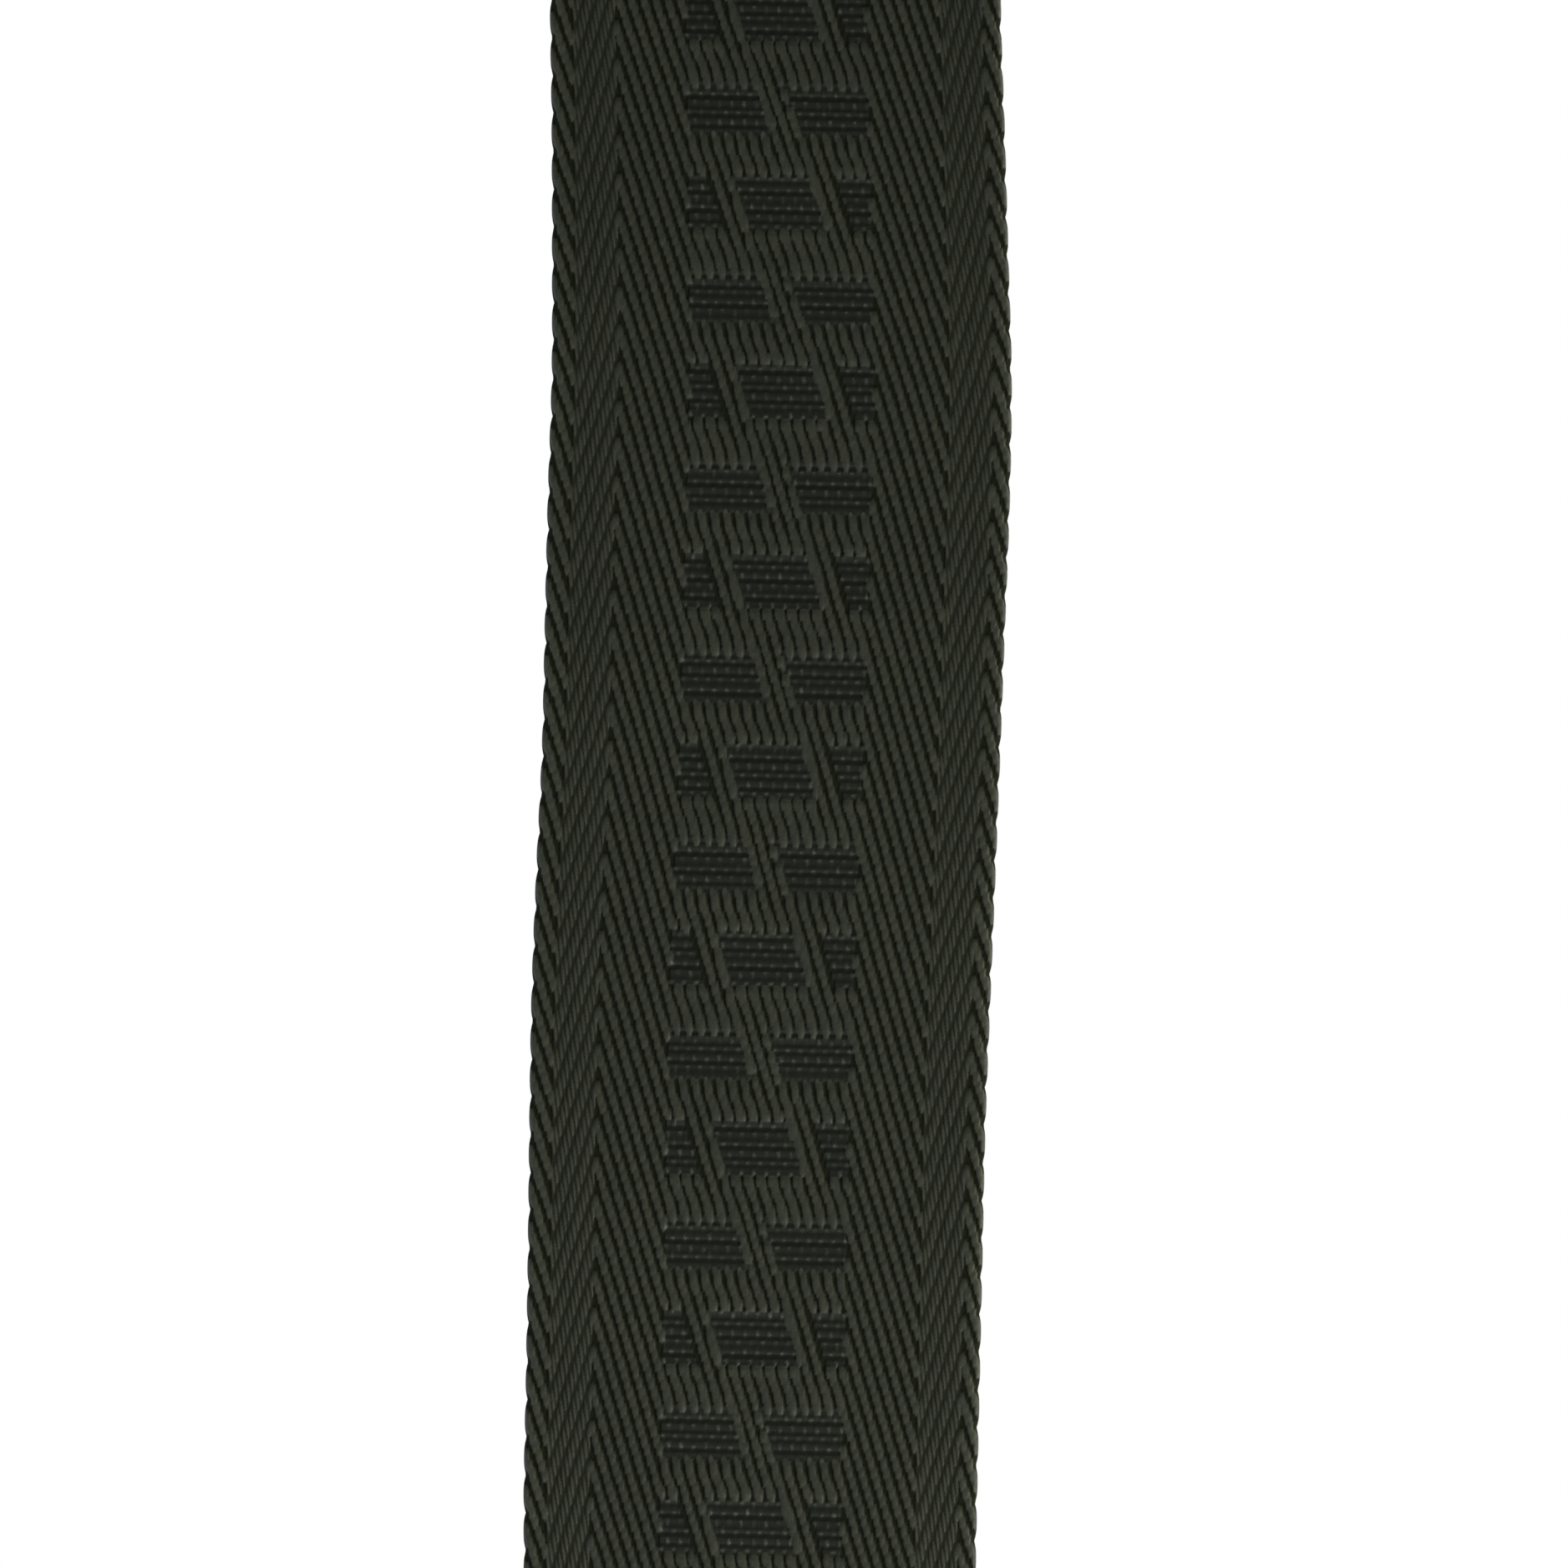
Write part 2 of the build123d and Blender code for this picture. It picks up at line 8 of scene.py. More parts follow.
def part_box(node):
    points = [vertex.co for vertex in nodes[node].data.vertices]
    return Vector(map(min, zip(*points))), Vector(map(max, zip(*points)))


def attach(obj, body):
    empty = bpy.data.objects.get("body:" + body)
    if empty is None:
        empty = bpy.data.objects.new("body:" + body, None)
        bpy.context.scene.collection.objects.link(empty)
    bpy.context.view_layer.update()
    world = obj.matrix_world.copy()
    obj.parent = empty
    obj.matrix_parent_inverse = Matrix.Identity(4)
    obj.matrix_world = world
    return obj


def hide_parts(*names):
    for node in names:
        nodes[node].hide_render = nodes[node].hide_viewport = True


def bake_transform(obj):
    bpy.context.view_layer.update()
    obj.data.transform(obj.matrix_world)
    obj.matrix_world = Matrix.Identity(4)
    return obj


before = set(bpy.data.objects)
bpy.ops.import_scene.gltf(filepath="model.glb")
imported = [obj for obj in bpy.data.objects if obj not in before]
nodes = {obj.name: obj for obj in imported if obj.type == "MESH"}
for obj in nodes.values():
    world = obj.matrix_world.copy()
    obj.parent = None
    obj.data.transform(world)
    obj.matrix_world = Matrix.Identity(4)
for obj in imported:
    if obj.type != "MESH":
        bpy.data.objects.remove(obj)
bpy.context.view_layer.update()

MM = 0.001
scene = bpy.context.scene


def mm(v):
    """Metres to millimetres."""
    return v / MM


# ------------------------------------------------------------------ measures read from the frame (mm)
band_lo, band_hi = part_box("main_webbing")
ring_lo, ring_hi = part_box("ring")
ret_lo, ret_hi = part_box("return_run")
turn_lo, turn_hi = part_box("ring_fold")
fold_lo, fold_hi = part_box("webbing_end_fold")
loop_lo, loop_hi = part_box("rear_webbing_loop")
glide_lo, glide_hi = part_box("tri_glide")

WEB_W = mm(band_hi.x - band_lo.x)
WEB_T = mm(band_hi.y - band_lo.y)
BAND_TOP = mm(band_hi.z)
RET_Y = mm((ret_lo.y + ret_hi.y) / 2)
TURN_R = RET_Y / 2
RING_Y = TURN_R
WIRE_R = mm(ring_hi.y - ring_lo.y) / 2
RING_TOP = mm(ring_hi.z)
RING_Z = RING_TOP - WIRE_R
LOW_Z = mm(ring_lo.z) + WIRE_R
LEG_Z = mm(turn_hi.z)
GLIDE_Z = mm((glide_lo.z + glide_hi.z) / 2)
TAIL_Y = mm(fold_lo.y) + WEB_T / 2
FOLD_R = (RET_Y - TAIL_Y) / 2
FOLD_Y = (RET_Y + TAIL_Y) / 2
FOLD_Z = mm(fold_hi.z) - FOLD_R - WEB_T / 2
FOLD_FOOT = mm(fold_lo.z)

# ------------------------------------------------------------------ the weave
END = WEB_W / 147.0        # one warp end
PICK = 1.0375              # one weft pick
N_END = 147
LEGS = ((7, 21), (127, 141))      # herringbone legs that climb the other way
COL0, COL1 = 44, 103              # centre column
REPEAT = 20                       # picks in one repeat of the column's pattern
FIG_SHIFT = 5


def twill_phase():
    """Which pick each end starts its float on: climbing one way in the ribs, the other way in the legs."""
    ph = np.zeros(N_END, int)
    p = 0
    for e in range(N_END):
        ph[e] = p
        p += -1 if any(a < e + 1 <= b for a, b in LEGS) else 1
    return ph


PHASE = twill_phase()


def figure(n_pick, shift=0):
    """Where the centre column is weft-faced: courses of plain bars laid like bricks. The joints between them follow the ribs."""
    e = np.arange(N_END)[:, None] + np.zeros((1, n_pick), int)
    k = np.mod(np.arange(n_pick)[None, :] + shift, REPEAT) + np.zeros((N_END, 1), int)
    x = e + 0.5 - (COL0 + COL1) / 2
    off = np.abs(x - np.where(k < 10, k - 2.5, k - 12.5))     # ribs move over by one end a pick
    fig = np.where(k < 6, off > 4, (k >= 10) & (k < 16) & ((off < 13) | (off > 21)))
    return fig & (e >= COL0) & (e < COL1)


SOFT = 16.0 / 0.3


def relief(xs, ss, face, fig, seed):
    """Height of the weave over its ground, in mm, on a grid of x (from the left edge) and s.
    Each float is a lens; floats that lie along each other run together as one rib."""
    n_pick = fig.shape[1]
    e = np.arange(N_END)
    k = np.arange(n_pick)
    tw = np.mod(k[None, :] - PHASE[:, None], 4) < 2
    if face < 0:
        tw = ~tw
    weft = np.mod(e[:, None] - 2 * (k[None, :] % 2), 4) == 0
    F = fig if face > 0 else np.zeros_like(fig)
    up = np.where(F, weft, tw)
    edge = np.diff(np.pad(up.astype(int), ((0, 0), (1, 1))), axis=1)
    es, ks = np.where(edge == 1)
    ln = np.where(edge == -1)[1] - ks
    near = ((ks + ln) * PICK > ss[0] - 4) & (ks * PICK < ss[-1] + 4)
    es, ks, ln = es[near], ks[near], ln[near]
    f = F[es, ks]
    leg = np.zeros(N_END, bool)
    for a, b in LEGS:
        leg[a:b] = True
    z = leg[es]
    Fp = np.pad(F, ((0, 0), (1, 1)))
    tip = (Fp[es, ks] | Fp[es, np.minimum(ks + ln + 1, n_pick + 1)]) & ~f
    # a float keeps its own jitter whichever stretch is being built
    key = (es * 7919 + ks * 104729 + seed * 15485863).astype(np.uint64)

    def jit(n):
        v = key * np.uint64(6364136223846793005) + np.uint64(n * 1442695040888963407 % (1 << 62))
        v = (v ^ (v >> np.uint64(31))) * np.uint64(0x9E3779B97F4A7C15)
        return ((v >> np.uint64(33)) % np.uint64(100003)).astype(float) / 50001.5 - 1

    cx = (es + 0.5) * END + 0.025 * jit(1)
    cy = (ks + ln / 2) * PICK + 0.08 * jit(2)
    over = np.where(tip, TIP_OVER, np.where(z, LEG_OVER, RIB_OVER))
    half = np.minimum(ln * PICK / 2 + np.where(f, -0.18, over), 6.0)
    wid = np.where(f, 0.38, np.where(tip, TIP_W, np.where(z, LEG_W, RIB_W))) * (1 + 0.09 * jit(3))
    top = np.where(f, 0.25, np.where(z, LEG_H, RIB_H)) * (1 + 0.08 * jit(4))
    lean = np.where(f, 2.0, np.where(tip, 5.0, np.where(z, LEG_LEAN, RIB_LEAN))) + 1.2 * jit(5)
    power = np.where(tip, 0.30, np.where(z, 0.70, 0.56))
    flat = np.where(z | f, 2.2, 3.2)
    t = np.tan(np.radians(lean))
    col = 0.5 + 0.5 * jit(6)
    dx, ds = xs[1] - xs[0], ss[1] - ss[0]
    nx, ns = len(xs), len(ss)
    acc = np.zeros(ns * nx)
    tint = np.zeros(ns * nx)
    ribs = np.zeros(ns * nx)
    # long floats are few, so each length has its own window
    for lo, hi in ((0, 2.0), (2.0, 3.2), (3.2, 7.0)):
        sel = np.where((half > lo) & (half <= hi))[0]
        if not len(sel):
            continue
        hm = half[sel].max()
        wx = int(np.ceil((wid[sel].max() + np.abs(t[sel]).max() * hm) / dx)) + 1
        wy = int(np.ceil(hm / ds)) + 1
        ox, oy = np.arange(-wx, wx + 1), np.arange(-wy, wy + 1)
        step = max(1, int(2e6 // (len(ox) * len(oy))))
        for a in range(0, len(sel), step):
            c = sel[a:a + step]
            ix = np.round((cx[c] - xs[0]) / dx).astype(int)[:, None, None] + ox[None, None, :]
            iy = np.round((cy[c] - ss[0]) / ds).astype(int)[:, None, None] + oy[None, :, None]
            Y = ss[0] + iy * ds - cy[c, None, None]
            V = xs[0] + ix * dx - cx[c, None, None] - t[c, None, None] * Y
            U = Y / half[c, None, None]
            b = wid[c, None, None] * np.clip(1 - U * U, 0, 1) ** power[c, None, None]
            q = np.clip(1 - np.abs(V / np.maximum(b, 1e-4)) ** flat[c, None, None], 0, 1)
            h = top[c, None, None] * q ** 0.55 * np.clip(1 - np.abs(U) ** 3, 0, 1) ** 0.5
            ok = (h > 1e-4) & (ix >= 0) & (ix < nx) & (iy >= 0) & (iy < ns)
            at = (iy * nx + ix)[ok]
            w = np.exp(SOFT * h[ok]) - 1
            acc += np.bincount(at, w, ns * nx)
            tint += np.bincount(at, w * np.broadcast_to(col[c, None, None], h.shape)[ok], ns * nx)
            ribs += np.bincount(at, w * np.broadcast_to(~f[c, None, None], h.shape)[ok], ns * nx)
    acc, tint, ribs = acc.reshape(ns, nx), tint.reshape(ns, nx), ribs.reshape(ns, nx)
    tint = (tint + 0.5) / (acc + 1.0)
    # the ground under the floats, and the weft cords where the column is weft-faced
    kk = np.floor(ss / PICK).astype(int)
    fr = ss / PICK - kk
    ei = np.clip(np.floor(xs / END).astype(int), 0, N_END - 1)
    Fm = F[ei][:, np.clip(kk, 0, n_pick - 1)].T
    cord = np.clip(1 - ((fr - 0.5) / 0.5) ** 2, 0, 1) ** 0.9
    legs = leg[ei].astype(float)[None, :] * LEG_FLOOR + np.zeros((ns, 1))
    ground = np.exp(SOFT * np.where(Fm, 0.165 * cord[:, None], legs)) - 1
    acc += ground
    # the warp's share of what lies on top, so that rib tips keep the warp's colour
    own = ribs / (acc + 1e-9)
    return np.log(acc + 1) / SOFT, Fm * np.clip(1 - 1.6 * own, 0, 1), tint


# how the floats of each zone are shaped, mm
RIB_W, RIB_H, RIB_OVER, RIB_LEAN = 0.455, 0.35, -0.09, 0.5
LEG_W, LEG_H, LEG_OVER, LEG_LEAN, LEG_FLOOR = 0.22, 0.33, 0.22, 7.0, 0.11
TIP_W, TIP_OVER = 0.50, 0.24


# ------------------------------------------------------------------ how the band is laid
def smooth(a, b, v):
    t = np.clip((v - a) / (b - a), 0, 1)
    return t * t * (3 - 2 * t)


VIEW_TOP = -104.0                    # top of the stretch that the camera frames
PX = 50.0 / 545.5
LEAN = 0.0216747                     # the band leans this much across the view
ROWS = np.array([-700, -150, 0, 150, 300, 450, 600, 750, 900, 1050, 1200, 1350, 1500, 1650, 1800, 1876, 2050, 2700]) * PX
SIDE = np.array([0.0, -13.0, -10.5, -3.9, 1.8, 6.8, 6.5, 5.1, 3.8, 0.6, -2.0, -2.9, -2.2, -1.8, -1.6, -0.6, 1.0, 0.0]) * PX
WIDE = np.array([1.0, .986, .986, .991, .998, 1.006, 1.010, 1.006, 1.002, 1.004, 1.003, .997, .994, .992, .991, .988, .992, 1.0])


def catmull(x, xs, ys):
    x = np.clip(x, xs[0], xs[-1] - 1e-9)
    i = np.clip(np.searchsorted(xs, x, side="right") - 1, 0, len(xs) - 2)
    m = np.gradient(ys, xs)
    h = xs[i + 1] - xs[i]
    t = (x - xs[i]) / h
    return ((2 * t**3 - 3 * t**2 + 1) * ys[i] + (t**3 - 2 * t**2 + t) * h * m[i]
            + (-2 * t**3 + 3 * t**2) * ys[i + 1] + (t**3 - t**2) * h * m[i + 1])


def side_shift(s):
    """Sideways drift of the main run, mm."""
    return catmull(VIEW_TOP - (BAND_TOP - s), ROWS, SIDE)


def width_scale(s):
    return catmull(VIEW_TOP - (BAND_TOP - s), ROWS, WIDE)


class Path:
    """A line in the YZ plane made of runs and arcs; gives point, tangent and outer normal at s."""

    def __init__(self, pts):
        pts = np.array(pts, float)
        d = np.linalg.norm(np.diff(pts, axis=0), axis=1)
        keep = np.concatenate([[True], d > 1e-6])
        self.p = pts[keep]
        self.s = np.concatenate([[0], np.cumsum(np.linalg.norm(np.diff(self.p, axis=0), axis=1))])
        self.length = self.s[-1]
        t = np.gradient(self.p, self.s, axis=0)
        self.t = t / np.linalg.norm(t, axis=1, keepdims=True)

    def at(self, s):
        y = np.interp(s, self.s, self.p[:, 0])
        z = np.interp(s, self.s, self.p[:, 1])
        ty = np.interp(s, self.s, self.t[:, 0])
        tz = np.interp(s, self.s, self.t[:, 1])
        n = np.hypot(ty, tz)
        ty, tz = ty / n, tz / n
        return y, z, tz, -ty      # normal of the patterned face: -Y where the band runs down


def arc(cy, cz, r, a0, a1, n=48):
    a = np.radians(np.linspace(a0, a1, n))
    return [(cy + r * math.cos(v), cz + r * math.sin(v)) for v in a]


def line(p, q, step=2.0):
    n = max(2, int(math.hypot(q[0] - p[0], q[1] - p[1]) / step) + 1)
    return [(p[0] + (q[0] - p[0]) * i / (n - 1), p[1] + (q[1] - p[1]) * i / (n - 1)) for i in range(n)]


def scurve(p, q, n=24):
    """From p to q, upright at both ends."""
    out = []
    for i in range(n):
        t = i / (n - 1)
        w = t * t * (3 - 2 * t)
        out.append((p[0] + (q[0] - p[0]) * w, p[1] + (q[1] - p[1]) * t))
    return out


tail_in = RET_Y - WEB_T - 0.05
band_path = Path(
    line((0, BAND_TOP), (0, RING_Z))
    + arc(TURN_R, RING_Z, TURN_R, 180, 360)
    + line((RET_Y, RING_Z), (RET_Y, FOLD_Z))
    + arc(FOLD_Y, FOLD_Z, FOLD_R, 0, 180)
    + line((TAIL_Y, FOLD_Z), (TAIL_Y, GLIDE_Z - 3.5), 1.0)
    + scurve((TAIL_Y, GLIDE_Z - 3.5), (tail_in, GLIDE_Z - 18.5))
    + line((tail_in, GLIDE_Z - 18.5), (tail_in, FOLD_FOOT + 4.0), 1.0)
)
FIG = figure(int(band_path.length / PICK) + 8, shift=FIG_SHIFT)


def make_mesh(name, co, quads, tris=(), attrs=None, quad_n=None, tri_n=None, quad_uv=None, tri_uv=None, normals=None):
    """A mesh from arrays in mm. Normals are one per vertex, or one per corner for quads and tris."""
    me = bpy.data.meshes.new(name)
    co = np.asarray(co, float) * MM
    quads = np.asarray(quads, np.int32).reshape(-1, 4)
    tris = np.asarray(tris, np.int32).reshape(-1, 3)
    nq, nt = len(quads), len(tris)
    me.vertices.add(len(co))
    me.vertices.foreach_set("co", co.astype(np.float32).ravel())
    loops = np.concatenate([quads.ravel(), tris.ravel()])
    me.loops.add(len(loops))
    me.loops.foreach_set("vertex_index", loops)
    me.polygons.add(nq + nt)
    me.polygons.foreach_set("loop_start", np.concatenate([np.arange(nq) * 4, nq * 4 + np.arange(nt) * 3]).astype(np.int32))
    me.update(calc_edges=True)
    me.shade_smooth()
    for k, v in (attrs or {}).items():
        me.attributes.new(k, "FLOAT", "POINT").data.foreach_set("value", np.asarray(v, np.float32).ravel())
    if quad_uv is not None:
        uv = me.uv_layers.new(name="OFBake")
        uv.data.foreach_set("uv", np.concatenate([quad_uv.reshape(-1, 2), tri_uv.reshape(-1, 2)]).astype(np.float32).ravel())
    if normals is not None:
        me.normals_split_custom_set_from_vertices(np.asarray(normals, float).tolist())
    elif quad_n is not None:
        n = np.concatenate([quad_n.reshape(-1, 3), tri_n.reshape(-1, 3)])
        me.normals_split_custom_set(n.tolist())
    ob = bpy.data.objects.new(name, me)
    scene.collection.objects.link(ob)
    return ob


BASE = 0.46        # middle of the band to the ground of the weave, mm
EDGE_R = 0.85      # rounding of the selvedge, mm


def band(name, path, s0, s1, nf, nb, ds, fig, seed=1, lie=True, pick0=0.0):
    """One stretch of the woven band as a closed mesh. Its normals are worked out past its ends, so stretches meet without a seam."""
    rows = max(2, int(round((s1 - s0) / ds)))
    ss = np.linspace(s0, s1, rows + 1)
    step = ss[1] - ss[0]
    pad = np.concatenate([[s0 - step], ss, [s1 + step]])
    inside = np.clip(pad, 0, path.length)
    over = pad - inside

    # columns are closer together in the outer zones, whose floats are narrower
    def columns(n):
        x = np.linspace(0, WEB_W, 2001)
        close = np.where((x < 7.6) | (x > WEB_W - 7.6), 1.45, 1.0)
        run = np.concatenate([[0], np.cumsum((close[1:] + close[:-1]) / 2)])
        return np.interp(np.linspace(0, run[-1], n + 1), run, x)

    def woven(cols, face, seed):
        even = np.linspace(0, WEB_W, int(len(cols) * 1.3))
        at = np.clip(cols / (even[1] - even[0]), 0, len(even) - 1 - 1e-6)
        i = at.astype(int)
        f = at - i
        return [g[:, i] * (1 - f) + g[:, i + 1] * f for g in relief(even, pad + pick0, face, fig, seed)]

    xf, xb = columns(nf), columns(nb)
    hf, ff, tf = woven(xf, 1, seed)
    hb, fb, tb = woven(xb, -1, seed + 5)
    half = WEB_W / 2
    arcs = pad + pick0
    y, zz, ny, nz = path.at(inside)
    ty, tz = -nz, ny
    y, zz = y + ty * over, zz + tz * over
    wide = width_scale(pad) if lie else np.ones(len(pad))
    drift = side_shift(pad) if lie else np.zeros(len(pad))

    def lobe(f):
        return (1 - np.abs(2 * f - 1) ** 2.6) * 0.26 - 0.13

    left = lobe(np.mod((arcs / PICK - PHASE[0] + 1.0) / 4.0, 1.0))
    right = lobe(np.mod((arcs / PICK - PHASE[-1] + 1.0) / 4.0, 1.0))

    def lay(xs, h, sign):
        x = xs - half
        r = np.clip((np.abs(x) - (half - EDGE_R)) / EDGE_R, 0, 1)
        rnd = np.sqrt(1 - r * r)
        off = sign * (BASE * rnd[None, :] + h * np.clip(1.25 * rnd[None, :], 0, 1))
        close = np.clip((np.abs(x) - (half - 2.2)) / 2.2, 0, 1) ** 1.6
        push = np.where(x[None, :] < 0, -left[:, None], right[:, None]) * close[None, :]
        X = x[None, :] * wide[:, None] + push + drift[:, None]
        return np.stack([X, y[:, None] + ny[:, None] * off, zz[:, None] + nz[:, None] * off], -1)

    def loop(front, back):
        return np.concatenate([front, back[:, ::-1][:, 1:-1]], axis=1)

    P = loop(lay(xf, hf, 1.0), lay(xb, hb, -1.0))
    H, FG, TN = loop(hf, hb), loop(ff, fb), loop(tf, tb)
    LAT = loop(np.repeat(xf[None], len(pad), 0), np.repeat(xb[None], len(pad), 0))
    ARC = np.repeat(arcs[:, None], P.shape[1], 1)
    along = P[2:] - P[:-2]
    across = (np.roll(P, -1, axis=1) - np.roll(P, 1, axis=1))[1:-1]
    N = np.cross(across, along)
    N /= np.maximum(np.linalg.norm(N, axis=-1, keepdims=True), 1e-9)
    P, H, FG, TN, LAT, ARC = (a[1:-1] for a in (P, H, FG, TN, LAT, ARC))
    if ((P - P.mean(axis=1, keepdims=True)) * N).sum() < 0:
        N = -N
    R, C = P.shape[:2]
    idx = np.arange(R * C).reshape(R, C)
    a, b = idx[:-1], idx[1:]
    q = np.stack([a, np.roll(a, -1, axis=1), np.roll(b, -1, axis=1), b], -1)
    # the map: face on the left part, back on the right, both ends in strips above
    u = np.concatenate([xf / WEB_W * 0.60, 0.60 + (1 - xb[::-1][1:] / WEB_W) * 0.40])
    v = np.linspace(0.002, 0.955, R)
    U0 = np.repeat(u[None, :-1], R - 1, 0)
    U1 = np.repeat(u[None, 1:], R - 1, 0)
    V0 = np.repeat(v[:-1, None], C, 1)
    V1 = np.repeat(v[1:, None], C, 1)
    quv = np.stack([np.stack([U0, V0], -1), np.stack([U1, V0], -1), np.stack([U1, V1], -1), np.stack([U0, V1], -1)], 2)
    co, Nf = P.reshape(-1, 3), N.reshape(-1, 3)
    test = q[R // 2, C // 5]
    if np.dot(np.cross(co[test[1]] - co[test[0]], co[test[3]] - co[test[0]]), Nf[test[0]]) < 0:
        q, quv = q[..., ::-1], quv[..., ::-1, :]
    q, quv = q.reshape(-1, 4), quv.reshape(-1, 4, 2)
    tris, tn, tuv = [], [], []
    face_cols, back_cols = list(range(nf + 1)), [0] + list(range(C - 1, nf, -1)) + [nf]
    for r, base in ((0, 0.962), (R - 1, 0.982)):
        t = P[min(r + 1, R - 1), nf // 2] - P[max(r - 1, 0), nf // 2]
        nrm = np.array([0, t[1], t[2]]) * (-1 if r == 0 else 1)
        nrm = nrm / np.linalg.norm(nrm)
        i = j = 0
        while i < len(face_cols) - 1 or j < len(back_cols) - 1:
            if j == len(back_cols) - 1 or (i < len(face_cols) - 1 and i / (len(face_cols) - 1) <= j / (len(back_cols) - 1)):
                tri = [(face_cols[i], 0), (face_cols[i + 1], 0), (back_cols[j], 1)]
                i += 1
            else:
                tri = [(face_cols[i], 0), (back_cols[j + 1], 1), (back_cols[j], 1)]
                j += 1
            ids = [idx[r, c] for c, _ in tri]
            if len(set(ids)) < 3:
                continue
            uvs = [(LAT[r, c] / WEB_W * 0.98 + 0.01, base + 0.012 * k) for c, k in tri]
            if np.dot(np.cross(co[ids[1]] - co[ids[0]], co[ids[2]] - co[ids[0]]), nrm) < 0:
                ids, uvs = ids[::-1], uvs[::-1]
            tris.append(ids)
            tn.append([nrm] * 3)
            tuv.append(uvs)
    attrs = {"hgt": H, "fig": FG, "yarn": TN, "lat": LAT, "arc": ARC}
    return make_mesh(name, co, q, tris, attrs, quad_n=Nf[q], tri_n=np.array(tn), quad_uv=quv, tri_uv=np.array(tuv))

# ------------------------------------------------------------------ materials
def material(name):
    m = bpy.data.materials.new(name)
    m.use_nodes = True
    nt = m.node_tree
    nt.nodes.clear()
    out = nt.nodes.new("ShaderNodeOutputMaterial")
    b = nt.nodes.new("ShaderNodeBsdfPrincipled")
    nt.links.new(b.outputs[0], out.inputs[0])
    return m, nt, b


def put(nt, to, value):
    """Links a socket, or sets a number or colour on it."""
    if isinstance(value, bpy.types.NodeSocket):
        nt.links.new(value, to)
    else:
        to.default_value = value


def attr(nt, name):
    n = nt.nodes.new("ShaderNodeAttribute")
    n.attribute_name = name
    return n.outputs["Fac"]


def calc(nt, op, a, b=None, c=None, clamp=False):
    n = nt.nodes.new("ShaderNodeMath")
    n.operation = op
    n.use_clamp = clamp
    put(nt, n.inputs[0], a)
    if b is not None:
        put(nt, n.inputs[1], b)
    if c is not None:
        put(nt, n.inputs[2], c)
    return n.outputs[0]


def ramp(nt, v, lo, hi, a=0.0, b=1.0, kind="SMOOTHSTEP"):
    n = nt.nodes.new("ShaderNodeMapRange")
    n.interpolation_type = kind
    put(nt, n.inputs["Value"], v)
    n.inputs["From Min"].default_value = lo
    n.inputs["From Max"].default_value = hi
    n.inputs["To Min"].default_value = a
    n.inputs["To Max"].default_value = b
    return n.outputs[0]


def mix(nt, f, a, b, kind="MIX"):
    n = nt.nodes.new("ShaderNodeMix")
    n.data_type = "RGBA"
    n.blend_type = kind
    n.clamp_factor = True
    put(nt, n.inputs[0], f)
    put(nt, n.inputs[6], a)
    put(nt, n.inputs[7], b)
    return n.outputs[2]


def joined(nt, x, y, z=0.0):
    n = nt.nodes.new("ShaderNodeCombineXYZ")
    put(nt, n.inputs[0], x)
    put(nt, n.inputs[1], y)
    put(nt, n.inputs[2], z)
    return n.outputs[0]


def noise(nt, vec, scale, detail=2.0, rough=0.5, dist=0.0):
    n = nt.nodes.new("ShaderNodeTexNoise")
    put(nt, n.inputs["Vector"], vec)
    n.inputs["Scale"].default_value = scale
    n.inputs["Detail"].default_value = detail
    n.inputs["Roughness"].default_value = rough
    n.inputs["Distortion"].default_value = dist
    return n.outputs["Fac"]


def bump(nt, h, strength, distance, normal=None):
    n = nt.nodes.new("ShaderNodeBump")
    put(nt, n.inputs["Height"], h)
    n.inputs["Strength"].default_value = strength
    n.inputs["Distance"].default_value = distance
    if normal is not None:
        put(nt, n.inputs["Normal"], normal)
    return n.outputs[0]


def srgb(r, g, b, k=1.0):
    def f(v):
        v /= 255.0
        return (v / 12.92 if v <= 0.04045 else ((v + 0.055) / 1.055) ** 2.4) * k
    return (f(r), f(g), f(b), 1.0)


def position(nt):
    n = nt.nodes.new("ShaderNodeTexCoord")
    return n.outputs["Object"]


